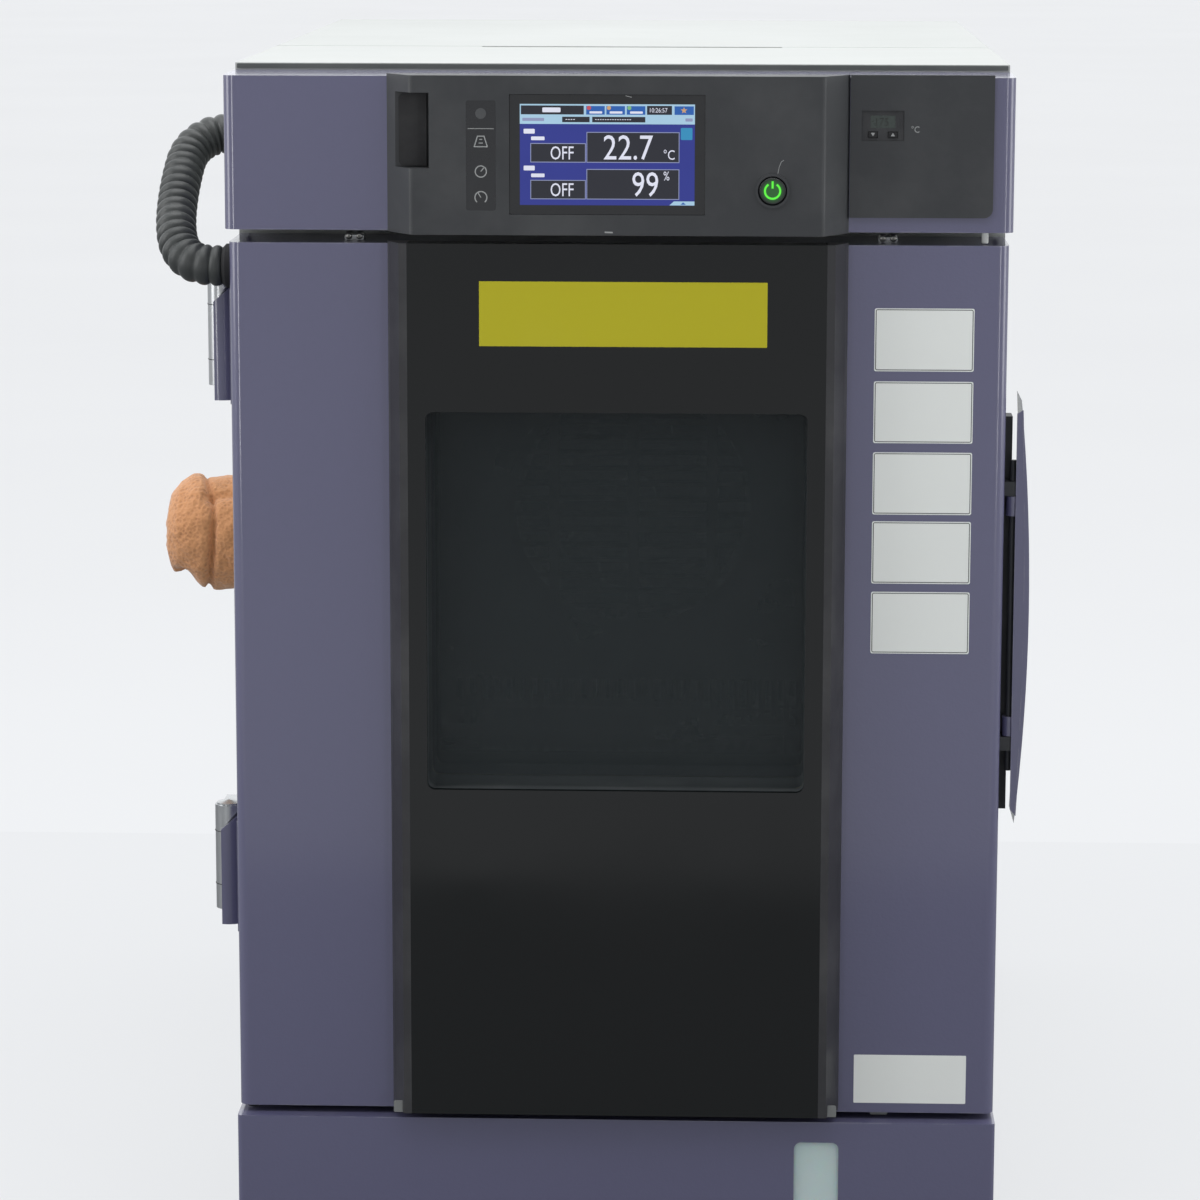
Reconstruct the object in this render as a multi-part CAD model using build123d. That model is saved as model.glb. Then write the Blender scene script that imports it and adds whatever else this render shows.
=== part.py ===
from build123d import *
import math
import os

# A bench-top temperature and humidity chamber. Millimetres, +Z up, the door faces -Y.
# Sizes are first given with x = 0 at the middle of the case, y = 0 at the front plane of the door
# and z = 0 at the floor. Everything is moved at the end so that the origin is under the middle of
# the whole chamber. The case is as large as the test space, its insulation and the machine space
# behind it make it.

# Test space
tub_width = 300.0
tub_height = 300.0
test_depth = 250.0
duct_depth = 70.0
tub_wall = 1.5
tub_radius = 12.0
insulation_side = 48.5
insulation_back = 45.0
insulation_height = 47.0

# Case
side_space = 20.0
machine_depth = 235.5
sheet = 1.6
side_inset = 1.0
side_flange = 18.0
top_thickness = 4.0
seam_y = 275.0
seam_width = 2.0
seam_slot_width = 185.0
seam_slot_depth = 8.0
louvre_count = 9
louvre_column_count = 2
louvre_pitch = 12.0
louvre_length = 70.0
louvre_gap = 5.0
louvre_column_gap = 20.0
louvre_rear_margin = 60.0
louvre_bottom_margin = 40.0

# Feet
foot_height = 20.0
foot_radius = 18.0
foot_pad = 9.0
foot_cone = 4.0
foot_stem_radius = 6.0
foot_inset_x = 30.0
foot_inset_y = 34.0

# Levels of the front, from the base up
base_height = 69.0
door_gap_bottom = 4.0
below_tub = 150.0
above_tub = 50.3
door_gap_top = 7.2
housing_height = 85.5

# Door
door_inset = 2.2
door_depth = 58.0
door_edge_radius = 6.0
seal_space = 4.0
strip_depth = 18.0
strip_overlap = 1.5
window_side = 43.5
window_end = 42.2
window_radius = 4.5
window_frame_wall = 3.0
glass_border = 10.0
glass_thickness = 4.0
glass_wall = 3.0
trim_width = 12.0
trim_bevel = 7.5
trim_foot = 5.0
trim_lean = 1.5
pane_thickness = 3.0
pane_recess = 11.0
second_pane_depth = 20.0
third_pane_gap = 6.0
plug_clearance = 10.0
plug_depth = 30.0
plug_taper = 4.0
gasket_width = 14.0
gasket_gap = 0.3
gasket_lap = 6.0
gasket_radius = 24.0
gasket_chamfer = 1.2

# Hinges on the left
hinge_radius = 8.0
hinge_offset = 9.7
hinge_set_forward = 17.0
hinge_height = 61.8
lower_hinge_rise = 106.8
upper_hinge_drop = 85.5
knuckle_lower_split = 14.5
knuckle_upper_split = 46.5
knuckle_gap = 0.4
pin_radius = 4.0
pin_head_height = 1.0
pin_dome = 1.6
running_gap = 0.05
leaf_half = 4.0
leaf_thickness = 3.0
leaf_length = 33.0
leaf_step = 5.0
leaf_clearance = 1.0
knuckle_root = 1.0
hinge_cover_gap = 1.6
hinge_cover_wall = 2.0
cover_tab = 22.0
cover_side = 3.5
cover_front = 5.5
cover_below = 8.0
cover_short = 4.7
cover_slant_drop = 9.0

# Control panel on the housing
panel_width = 256.8
panel_bevel = 14.4
panel_depth = 22.0
panel_wall = 3.0
panel_edge_radius = 3.0
panel_lip_bottom = 0.5
panel_lip_top = 1.5
housing_cut_left = 5.4
housing_cut_right = 20.0
housing_cut_end = 12.0
screen_shift_x = -5.2
screen_rise = 0.65
screen_width = 107.8
screen_height = 66.0
screen_thickness = 3.0
screen_set_back = 0.4
button_from_edge = 28.2
button_rise = 25.0
button_radius = 7.8
button_chamfer = 0.8
button_thickness = 6.0
plunger_radius = 3.0
plunger_length = 14.0
bezel_radius = 9.6
bezel_rise = 0.8
moving_gap = 0.3
usb_width = 24.9
usb_height = 41.5
usb_top_gap = 9.5
usb_side_run = 2.6
usb_depth = 14.0
usb_cover_thickness = 2.7
usb_cover_gap = 0.8
usb_cover_left = 7.4
usb_cover_right = 2.0
usb_cover_radius = 3.0
socket_width = 6.0
socket_height = 14.0
socket_depth = 12.0
socket_wall = 0.5
film_gap = 0.2
film_side_margin = 12.0
film_bottom_margin = 8.8
film_thickness = 2.0
film_radius = 5.0
protector_from_film = 18.0
protector_drop = 27.9
protector_width = 23.4
protector_height = 16.7
protector_depth = 30.0
protector_set_back = 0.8
key_width = 5.0
key_height = 3.0
key_depth = 1.4
key_spacing = 11.0
key_rise = 3.4
key_travel = 0.6
key_pocket = 2.4

# Cable port and its foam plug, on the left
port_depth = 117.0
port_rise = 3.0
port_radius = 25.0
port_wall = 2.0
port_flange = 32.0
port_flange_thickness = 3.0
plug_inner_end = 10.0
plug_out = 64.0
plug_bulb_radius = 36.0
plug_round = 14.0
plug_tip = 2.0
plug_shoulder = 5.0

# Hose from the case to the door
hose_diameter = 23.0
hose_exit_y = 122.0
hose_exit_z = 646.0
hose_door_y = 25.0
hose_door_z = 577.7
gland_radius = 12.5
gland_length = 6.0
gland_chamfer = 2.0

# Handle and latch on the right
handle_length = 243.6
handle_drop = 9.2
handle_out = 15.5
handle_tip_out = 9.2
handle_blade = 3.2
handle_front = 12.0
handle_set_forward = 6.0
carrier_bottom_gap = 6.0
carrier_top_gap = 10.6
carrier_depth = 5.0
carrier_set_forward = 16.0
carrier_slant_y = 8.0
carrier_slant_z = 10.0
lever_pin_radius = 1.8
lever_pivot_y = 17.0
lever_pivot_out = 5.5
lever_eye_radius = 3.8
lever_eye_arm = 3.0
lever_eye_height = 11.2
ear_inset = 40.0
ear_height = 8.0
ear_gap = 0.4
pin_end = 24.0
pawl_thickness = 6.0
pawl_set_forward = 24.0
pawl_reach = 12.0
pawl_width = 3.2
pawl_hub = 1.0
pawl_pin_radius = 1.5
pawl_nose = 4.0
pawl_nose_bevel = 1.0
pawl_gap = 1.0
keeper_height = 30.0
keeper_plate = 1.5
keeper_cheek = 9.0
keeper_front = 3.0
keeper_depth = 23.0
keeper_clearance = 3.0

# Base drawer and water tank
drawer_inset = 1.5
drawer_front_lip = 8.0
drawer_gap = 0.5
drawer_ground_gap = 2.0
slot_centre_x = 115.95
slot_width = 25.5
slot_top_gap = 12.2
slot_bottom_gap = 10.0
slot_radius = 4.0
tank_centre_x = 125.0
tank_width = 134.0
tank_length = 220.0
tank_top_gap = 11.0
tank_wall = 2.0
tank_radius = 6.0
tray_gap = 2.0
tray_height = 26.0
runner_height = 2.0
runner_width = 8.0
runner_spare = 132.0
neck_y = 110.0
neck_radius = 16.0
neck_height = 5.5
cap_radius = 19.5
cap_height = 8.0
cap_chamfer = 1.2
cap_rib_count = 12
cap_rib_depth = 1.4
cap_rib_width = 2.0

# What stands in the air duct
guard_radius = 82.0
guard_thickness = 1.5
guard_pitch = 10.0
guard_slot = 6.5
guard_border = 6.0
guard_rim = 3.0
guard_rim_rise = 1.5
guard_rib_spacing = 50.8
guard_rib_width = 4.0
guard_rib_rise = 2.0
guard_rib_margin = 1.5
mouth_lap = 4.0
intake_pitch = 8.0
intake_gap = 4.0
intake_margin = 34.0
intake_rise = 6.0
intake_height = 30.0
outlet_margin = 20.0
outlet_height = 16.0
outlet_drop = 18.0
outlet_radius = 4.0
standard_width = 14.0
standard_thickness = 2.0
standard_end = 25.0
standard_front = 40.0
standard_rear = 45.0
standard_slot_width = 3.0
standard_slot_height = 10.0
standard_pitch = 25.0
fan_radius = 72.0
fan_clear_back = 26.0
fan_clear_front = 14.0
fan_plate = 2.0
fan_ring_width = 16.0
fan_blade_count = 12
fan_blade_thickness = 1.6
fan_blade_length = 24.0
fan_blade_bow = 9.0
fan_blade_sweep = 24.0
fan_hub_radius = 14.0
fan_hub_length = 16.0
fan_shaft_radius = 5.0
fan_shaft_hole_gap = 3.0
motor_radius = 42.0
motor_length = 84.0
motor_flange = 10.0
motor_flange_thickness = 4.0
motor_waist = 6.0
motor_end = 14.0
motor_boss_radius = 18.0
coil_side_gap = 12.0
coil_end_gap = 6.0
coil_front_gap = 18.0
coil_rise = 19.0
coil_below_fan = 17.0
coil_pitch = 14.0
coil_cut = 16.0
coil_tube_radius = 4.0
coil_tube_spacing = 24.0
heater_side_gap = 24.0
heater_drop = 12.0
heater_pitch = 14.0
heater_rod_count = 3
heater_rod_radius = 3.5
heater_bracket = 3.0
heater_bracket_lap = 8.0
water_pan_side_gap = 15.0
water_pan_front_gap = 12.0
water_pan_rear_gap = 4.0
water_pan_height = 15.0
sensor_inset = 60.0
sensor_rise = 96.0
sensor_clip = 10.0
sensor_radius = 2.0
sensor_length = 60.0
sensor_stand_off = 6.0

# Cooling, in the machine space
compressor_x = -114.0
compressor_rear_gap = 115.0
compressor_radius = 60.0
compressor_height = 165.0
compressor_foot = 6.0
compressor_foot_radius = 8.0
compressor_foot_inset = 12.0
compressor_plate = 4.0
compressor_plate_radius = 14.0
compressor_bottom = 8.0
compressor_shoulder = 22.0
compressor_chamfer = 10.0
compressor_dome = 4.0
flask_radius = 20.0
flask_offset = 14.0
flask_bottom = 20.0
flask_top_gap = 26.0
flask_cone = 10.0
condenser_centre_x = 95.0
condenser_width = 190.0
condenser_height = 190.0
condenser_depth = 40.0
condenser_end_plate = 6.0
condenser_rise = 6.0
condenser_pitch = 13.0
condenser_cut = 12.0
fan_frame_depth = 28.0
fan_frame_radius = 82.0
fan_frame_wall = 6.0
fan_frame_corner = 10.0
fan_frame_rear_gap = 24.4
fan_tip_gap = 3.0
strut_count = 3
strut_width = 7.0
strut_depth = 4.0
condenser_motor_radius = 24.0
condenser_motor_depth = 12.0
spider_radius = 30.0
condenser_blade_count = 5
condenser_blade_width = 34.0
condenser_blade_thickness = 2.4
condenser_blade_pitch = 22.0
condenser_blade_place = 8.0
condenser_hub_radius = 26.0
condenser_hub_gap = 2.0
condenser_shaft_radius = 3.0
electrical_side_gap = 37.4
electrical_depth = 118.4
electrical_rise = 67.0
electrical_drop = 36.0
grille_pitch = 11.0
grille_gap = 6.0
grille_bar = 6.0

# Rear fittings
drain_x = -150.0
drain_rise = 42.0
drain_radius = 8.0
drain_wall = 2.0
drain_length = 22.0
drain_flange = 7.0
drain_flange_thickness = 4.0
inlet_side_gap = 59.0
inlet_rise = 310.0
inlet_depth = 8.0
inlet_width = 52.0
inlet_height = 40.0
inlet_corner = 4.0
inlet_mouth_width = 28.0
inlet_mouth_height = 22.0
inlet_mouth_corner = 3.0
inlet_floor = 2.0
inlet_pin_spacing = 7.0
inlet_pin_width = 2.0
inlet_pin_height = 6.0
breaker_rise = 46.0
breaker_width = 26.0
breaker_height = 44.0
breaker_slot_width = 8.0
breaker_slot_height = 24.0
breaker_floor = 1.0
breaker_pin_radius = 1.2
breaker_pin_depth = 4.5
breaker_hub_radius = 3.0
breaker_arm = ((0, 1.6), (0, 4.2), (9, 9), (10.5, 6.5), (2.8, 1.4))

# Places that follow from the sizes
tub_x = tub_width / 2
half_width = tub_x + tub_wall + insulation_side + side_space
side_x = half_width - side_inset
side_inner = side_x - sheet
base_top = foot_height + base_height
door_bottom = base_top + door_gap_bottom
tub_floor = door_bottom + below_tub
tub_ceiling = tub_floor + tub_height
tub_centre_z = (tub_floor + tub_ceiling) / 2
door_top = tub_ceiling + above_tub
housing_bottom = door_top + door_gap_top
housing_top = housing_bottom + housing_height
case_height = housing_top + top_thickness
pan_top = foot_height + sheet
case_front = door_depth + seal_space
plug_end = door_depth + plug_depth
duct_front = plug_end + test_depth
tub_back = duct_front + duct_depth
insulation_end = tub_back + tub_wall + insulation_back
case_depth = insulation_end + machine_depth
rear_inner = case_depth - sheet
door_x = half_width - door_inset
window_width = tub_width - 2 * window_side
window_height = tub_height - 2 * window_end
glass_x = window_width / 2 + glass_border
glass_bottom = door_bottom + strip_overlap
glass_top = door_top + strip_overlap
plug_width = tub_width - 2 * plug_clearance
plug_height = tub_height - 2 * plug_clearance
hinge_x = -(door_x + hinge_offset)
hinge_y = case_front - hinge_set_forward
hinge_bottoms = (door_bottom + lower_hinge_rise, door_top - upper_hinge_drop)
panel_x = panel_width / 2
panel_face_x = panel_x - panel_bevel
panel_bottom = housing_bottom - panel_lip_bottom
panel_top = housing_top + panel_lip_top
screen_centre_z = (panel_bottom + panel_top) / 2 + screen_rise
button_x = panel_face_x - button_from_edge
button_z = panel_bottom + button_rise
button_face = -panel_depth - bezel_rise
usb_x = (-panel_x - usb_side_run, -panel_x + usb_width)
usb_z = (panel_top - usb_top_gap - usb_height, panel_top - usb_top_gap)
usb_floor = -panel_depth + usb_depth
socket_x = -panel_x + usb_width / 2
socket_z = (usb_z[0] + usb_z[1]) / 2
film_left = panel_x + film_gap
film_right = half_width - film_side_margin
film_bottom = panel_bottom + film_bottom_margin
protector_x = film_left + protector_from_film
protector_z = panel_top - protector_drop
protector_face = protector_set_back - film_thickness
key_z = protector_z - protector_height / 2 + key_rise
port_y = plug_end + port_depth
port_z = tub_centre_z + port_rise
plug_reach = side_x + plug_out
handle_middle = tub_centre_z - handle_drop
handle_bottom = handle_middle - handle_length / 2
handle_top = handle_middle + handle_length / 2
handle_reach = door_x + handle_out
handle_rear = case_front - handle_set_forward
carrier_bottom = handle_bottom + carrier_bottom_gap
carrier_top = handle_top - carrier_top_gap
carrier_middle = (carrier_bottom + carrier_top) / 2
carrier_front = lever_pivot_y + lever_eye_radius + 2.2
carrier_rear = case_front - carrier_set_forward
lever_pivot_x = door_x + lever_pivot_out
pawl_x = door_x + carrier_depth - ear_gap
pawl_pivot_y = case_front - pawl_set_forward
tank_x = (tank_centre_x - tank_width / 2, tank_centre_x + tank_width / 2)
tank_top = base_top - tank_top_gap
slot_z = (foot_height + slot_bottom_gap, base_top - slot_top_gap)
runner_top = pan_top + runner_height
fan_back = tub_back - fan_clear_back
fan_front = duct_front + fan_clear_front
condenser_front = rear_inner - fan_frame_rear_gap - fan_frame_depth - condenser_depth
condenser_rear = condenser_front + condenser_depth
condenser_middle_z = pan_top + condenser_rise + condenser_height / 2
condenser_fan_radius = fan_frame_radius - fan_tip_gap
drain_z = foot_height + drain_rise
inlet_x = side_x - inlet_side_gap
inlet_z = foot_height + inlet_rise
breaker_z = inlet_z + breaker_rise
breaker_y = case_depth + breaker_pin_depth
front_reach = -button_face
rear_reach = case_depth + drain_length
centre_x = (handle_reach - plug_reach) / 2
centre_y = (rear_reach - front_reach) / 2


def block(x, y, z):
    """A block between pairs of limits along X, Y and Z."""
    size = [abs(limits[1] - limits[0]) for limits in (x, y, z)]
    middle = [(limits[0] + limits[1]) / 2 for limits in (x, y, z)]
    return Pos(*middle) * Box(*size)


def upright(outline, y, x=0.0, z=0.0):
    """An outline drawn as seen from the front, made solid between two Y limits."""
    plane = Plane(origin=(x, y[1], z), x_dir=(1, 0, 0), z_dir=(0, -1, 0))
    return extrude(plane * outline, amount=y[1] - y[0])


def rising(outline, z):
    """An outline drawn in plan, made solid between two levels."""
    return extrude(Pos(0, 0, z[0]) * outline, amount=z[1] - z[0])


def sideways(outline, x, y=0.0, z=0.0):
    """An outline drawn as seen from the right side, made solid between two X limits."""
    plane = Plane(origin=(x[0], y, z), x_dir=(0, 1, 0), z_dir=(1, 0, 0))
    return extrude(plane * outline, amount=x[1] - x[0])


def plan(points):
    """A straight-sided outline."""
    return make_face(Polyline(*points, close=True))


def turned(profile, origin, direction):
    """A turned piece: pairs of radius and height, along a direction from an origin."""
    outline = make_face(Polyline(*[(r, 0, h) for r, h in profile], close=True))
    return Plane(origin=origin, z_dir=direction).location * revolve(outline, Axis.Z)


def rounded(width, height, radius):
    """A rectangle with rounded corners."""
    return RectangleRounded(width, height, radius)


def front_edges(solid, radius):
    """The same solid with its two upright edges at the front rounded."""
    return fillet(solid.edges().filter_by(Axis.Z).group_by(Axis.Y)[0], radius)


def comb(width, depth, pitch, cut):
    """A finned block in plan: a comb cut from both long sides, centred on the origin."""
    outline = Rectangle(width, depth)
    count = int((width - pitch) / pitch)
    slot = Rectangle(pitch / 2, cut)
    first = -(count - 1) * pitch / 2
    for i in range(count):
        for side in (-1, 1):
            outline -= Pos(first + i * pitch, side * (depth - cut) / 2) * slot
    return outline


# Case

def base_pan():
    """Floor tray of the case, with the two runners that the tank's tray slides on."""
    y = case_front + sheet
    pan = block((-side_inner, side_inner), (y, rear_inner), (foot_height, pan_top))
    for edge in (tank_x[0] - tray_gap, tank_x[1] + tray_gap - runner_width):
        pan += block((edge, edge + runner_width), (y, tank_length + runner_spare),
                     (pan_top, runner_top))
    return pan


def levelling_feet():
    """Four rubber feet on short steel stems."""
    profile = [(0, 0), (foot_radius, 0), (foot_radius, foot_pad),
               (foot_stem_radius, foot_pad + foot_cone), (foot_stem_radius, foot_height),
               (0, foot_height)]
    feet = []
    for x in (-side_x + foot_inset_x, side_x - foot_inset_x):
        for y in (case_front + foot_inset_y, case_depth - foot_inset_y):
            feet.append(turned(profile, (x, y, 0), (0, 0, 1)))
    return feet


def side_panel(side):
    """Side wall folded inwards at the front and rear, with louvres low at the back."""
    outer = block((side_x - side_flange, side_x), (case_front, case_depth),
                  (foot_height, housing_top))
    inner = block((0, side_inner), (case_front + sheet, rear_inner),
                  (foot_height - sheet, housing_top + sheet))
    panel = outer - inner
    for column in range(louvre_column_count):
        for row in range(louvre_count):
            y = (case_depth - louvre_rear_margin - louvre_length
                 - column * (louvre_length + louvre_column_gap))
            z = foot_height + louvre_bottom_margin + row * louvre_pitch
            panel -= block((side_inner - sheet, side_x + sheet), (y, y + louvre_length),
                           (z, z + louvre_gap))
    if side < 0:
        panel = mirror(panel, Plane.YZ)
        panel -= port_hole((-side_x - sheet, -side_inner + sheet))
    return panel


def port_hole(x):
    """What the cable port's tube takes out of a wall."""
    return sideways(Circle(port_radius + port_wall), x, port_y, port_z)


def rear_panel():
    """Back plate with the outlet grille of the condenser fan."""
    edge = side_x - side_flange
    panel = block((-edge, edge), (rear_inner, case_depth), (foot_height, housing_top))
    y = (rear_inner - sheet, case_depth + sheet)
    count = int(2 * condenser_fan_radius / grille_pitch)
    for i in range(count):
        rise = (i - (count - 1) / 2) * grille_pitch
        half = math.sqrt(condenser_fan_radius ** 2 - rise ** 2)
        z = (condenser_middle_z + rise - grille_gap / 2, condenser_middle_z + rise + grille_gap / 2)
        for side in (-1, 1):
            x = (condenser_centre_x + side * grille_bar / 2, condenser_centre_x + side * half)
            panel -= block(x, y, z)
    return panel


def top_plates():
    """Two top plates that meet at a seam, with a long slot in the middle of the seam."""
    z = (housing_top, case_height)
    front = block((-half_width, half_width), (case_front, seam_y - seam_width / 2), z)
    rear = block((-half_width, half_width), (seam_y + seam_width / 2, case_depth), z)
    slot = block((-seam_slot_width / 2, seam_slot_width / 2),
                 (seam_y - seam_width / 2 - seam_slot_depth, seam_y),
                 (z[0] - top_thickness, z[1] + top_thickness))
    return [front - slot, rear]


def tub_outline(grow):
    """The tub's section, with its wall or without it."""
    return rounded(tub_width + 2 * grow, tub_height + 2 * grow, tub_radius + grow)


def front_frame():
    """Steel face of the case behind the door, open for the tub and for the tank's tray."""
    edge = side_x - side_flange
    frame = block((-edge, edge), (case_front, case_front + sheet), (foot_height, housing_top))
    y = (case_front - sheet, case_front + 2 * sheet)
    frame -= upright(tub_outline(tub_wall), y, 0, tub_centre_z)
    frame -= block((tank_x[0] - 2 * tray_gap, tank_x[1] + 2 * tray_gap), y,
                   (foot_height - sheet, base_top - drawer_gap))
    return frame


def shaft_hole(y):
    """What the circulation fan's shaft takes out of a wall."""
    return upright(Circle(fan_shaft_radius + fan_shaft_hole_gap), y, 0, tub_centre_z)


def inner_tub():
    """Stainless test space with rounded corners, open to the front."""
    tub = upright(tub_outline(tub_wall), (case_front, tub_back + tub_wall), 0, tub_centre_z)
    tub -= upright(tub_outline(0), (case_front - tub_wall, tub_back), 0, tub_centre_z)
    tub -= port_hole((-tub_x - 2 * tub_wall, -tub_x + tub_wall))
    return tub - shaft_hole((tub_back - tub_wall, tub_back + 2 * tub_wall))


def tub_insulation():
    """Foam round the tub, behind the front frame."""
    half = tub_x + tub_wall + insulation_side
    foam = block((-half, half), (case_front + sheet, insulation_end),
                 (tub_floor - tub_wall - insulation_height,
                  tub_ceiling + tub_wall + insulation_height))
    foam -= upright(tub_outline(tub_wall), (case_front, tub_back + tub_wall), 0, tub_centre_z)
    foam -= port_hole((-half - tub_wall, -tub_x))
    return foam - shaft_hole((tub_back, insulation_end + tub_wall))


# Test space

def duct_panel():
    """Stainless panel across the back of the test space, with the fan's mouth, the intake slots
    along the floor and the outlet along the ceiling."""
    y = (duct_front, duct_front + tub_wall)
    panel = upright(tub_outline(0), y, 0, tub_centre_z)
    y = (duct_front - tub_wall, duct_front + 2 * tub_wall)
    panel -= upright(Circle(guard_radius - mouth_lap), y, 0, tub_centre_z)
    count = int((tub_width - 2 * intake_margin) / intake_pitch)
    bottom = tub_floor + intake_rise
    for i in range(count):
        x = (i - (count - 1) / 2) * intake_pitch
        panel -= block((x - intake_gap / 2, x + intake_gap / 2), y, (bottom, bottom + intake_height))
    outlet = rounded(tub_width - 2 * outlet_margin, outlet_height, outlet_radius)
    return panel - upright(outlet, y, 0, tub_ceiling - outlet_drop)


def fan_guard():
    """Pressed round guard: rows of slots broken by three raised upright ribs."""
    field = Circle(guard_radius - guard_border)
    count = 2 * int((guard_radius - guard_border) / guard_pitch) + 1
    slots = Sketch()
    for i in range(count):
        z = (i - (count - 1) / 2) * guard_pitch
        slots += Pos(0, z) * Rectangle(2 * guard_radius, guard_slot)
    ribs = Sketch()
    for i in (-1, 0, 1):
        solid_width = guard_rib_width + 2 * guard_rib_margin
        ribs += Pos(i * guard_rib_spacing, 0) * Rectangle(solid_width, 2 * guard_radius)
    y = duct_front - guard_thickness
    guard = upright(Circle(guard_radius), (y, duct_front), 0, tub_centre_z)
    guard -= upright((slots & field) - ribs, (y - tub_wall, duct_front + tub_wall), 0, tub_centre_z)
    rim = Circle(guard_radius) - Circle(guard_radius - guard_rim)
    guard += upright(rim, (y - guard_rim_rise, y), 0, tub_centre_z)
    for i in (-1, 0, 1):
        reach = guard_radius - guard_rim / 2
        half = math.sqrt(reach ** 2 - (i * guard_rib_spacing) ** 2)
        rib = rounded(guard_rib_width, 2 * half, guard_rib_width * 3 / 8)
        guard += upright(rib, (y - guard_rib_rise, y), i * guard_rib_spacing, tub_centre_z)
    return guard


def shelf_standards():
    """Four slotted strips on the tub's side walls, which shelf brackets hook into."""
    length = tub_height - 2 * standard_end
    strip = Rectangle(standard_width, length)
    count = int(length / standard_pitch)
    for i in range(count):
        rise = (i - (count - 1) / 2) * standard_pitch
        strip -= Pos(0, rise) * Rectangle(standard_slot_width, standard_slot_height)
    strips = []
    for y in (plug_end + standard_front, duct_front - standard_rear):
        for x in ((tub_x - standard_thickness, tub_x), (-tub_x, -tub_x + standard_thickness)):
            strips.append(sideways(strip, x, y, tub_centre_z))
    return strips


def evaporator_coil():
    """Finned cooling coil low in the air duct, hung between the tub's side walls."""
    depth = duct_depth - coil_front_gap - coil_end_gap
    reach = tub_x - coil_side_gap
    middle_y = tub_back - coil_end_gap - depth / 2
    z = (tub_floor + coil_rise, tub_centre_z - fan_radius - coil_below_fan)
    coil = Pos(0, middle_y) * rising(comb(2 * reach, depth, coil_pitch, coil_cut), z)
    for x in ((reach, tub_x), (-tub_x, -reach)):
        for side in (-1, 1):
            y = middle_y + side * coil_tube_spacing / 2
            coil += sideways(Circle(coil_tube_radius), x, y, (z[0] + z[1]) / 2)
    return coil


def heater_coil():
    """Sheathed heater rods above the fan, between two brackets on the tub's back."""
    reach = tub_x - heater_side_gap
    top, y = tub_ceiling - heater_drop, duct_front + duct_depth / 2
    bottom = top - (heater_rod_count - 1) * heater_pitch
    heater = Part()
    for side in (-1, 1):
        x = (side * reach, side * (reach + heater_bracket))
        heater += block(x, (y - heater_bracket_lap, tub_back),
                        (bottom - heater_bracket_lap, top + heater_bracket_lap))
    for i in range(heater_rod_count):
        rod = Circle(heater_rod_radius)
        heater += sideways(rod, (-reach, reach), y, top - i * heater_pitch)
    return heater


def humidifying_tray():
    """Shallow stainless water pan on the floor of the air duct."""
    x = tub_x - water_pan_side_gap
    y = (duct_front + water_pan_front_gap, tub_back - water_pan_rear_gap)
    z = (tub_floor, tub_floor + water_pan_height)
    pan = block((-x, x), y, z)
    return pan - block((-x + tub_wall, x - tub_wall), (y[0] + tub_wall, y[1] - tub_wall),
                       (z[0] + tub_wall, z[1] + tub_wall))


def temperature_sensor():
    """Probe on a clip behind the duct panel."""
    back = duct_front + tub_wall
    x, z = tub_x - sensor_inset, tub_centre_z + sensor_rise
    half = sensor_clip / 2
    clip = block((x - half, x + half), (back, back + sensor_clip), (z - half, z + half))
    return clip + sideways(Circle(sensor_radius), (x - sensor_length, x), back + sensor_stand_off, z)


def circulation_fan():
    """Centrifugal fan wheel: back plate, curved blades, inlet ring, hub and shaft."""
    z = tub_centre_z
    plate_front = fan_back - fan_plate
    wheel = upright(Circle(fan_radius), (plate_front, fan_back), 0, z)
    ring = Circle(fan_radius) - Circle(fan_radius - fan_ring_width)
    wheel += upright(ring, (fan_front, fan_front + fan_plate), 0, z)
    outer = fan_radius - 1
    inner = outer - fan_blade_length
    for i in range(fan_blade_count):
        start = i * 360 / fan_blade_count
        line = ThreePointArc(
            Vector(inner, 0).rotate(Axis.Z, start),
            Vector((inner + outer) / 2, 0).rotate(Axis.Z, start + fan_blade_bow),
            Vector(outer, 0).rotate(Axis.Z, start + fan_blade_sweep))
        blade = trace(line, fan_blade_thickness)
        wheel += upright(blade, (fan_front + fan_plate / 2, plate_front + fan_plate / 2), 0, z)
    wheel += upright(Circle(fan_hub_radius), (fan_back - fan_hub_length, fan_back), 0, z)
    shaft_end = insulation_end + motor_length / 2
    shaft = Circle(fan_shaft_radius)
    return wheel + upright(shaft, (fan_back - fan_hub_length - fan_plate, shaft_end), 0, z)


def fan_motor():
    """Motor of the circulation fan on its flange, behind the insulation."""
    r, length = motor_radius, motor_length
    bore = fan_shaft_radius + running_gap
    profile = [(bore, 0), (r + motor_flange, 0), (r + motor_flange, motor_flange_thickness),
               (r - motor_waist, motor_flange_thickness), (r, motor_end), (r, length - motor_end),
               (motor_boss_radius, length), (bore, length)]
    return turned(profile, (0, insulation_end, tub_centre_z), (0, 1, 0))


# Machine space

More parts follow.
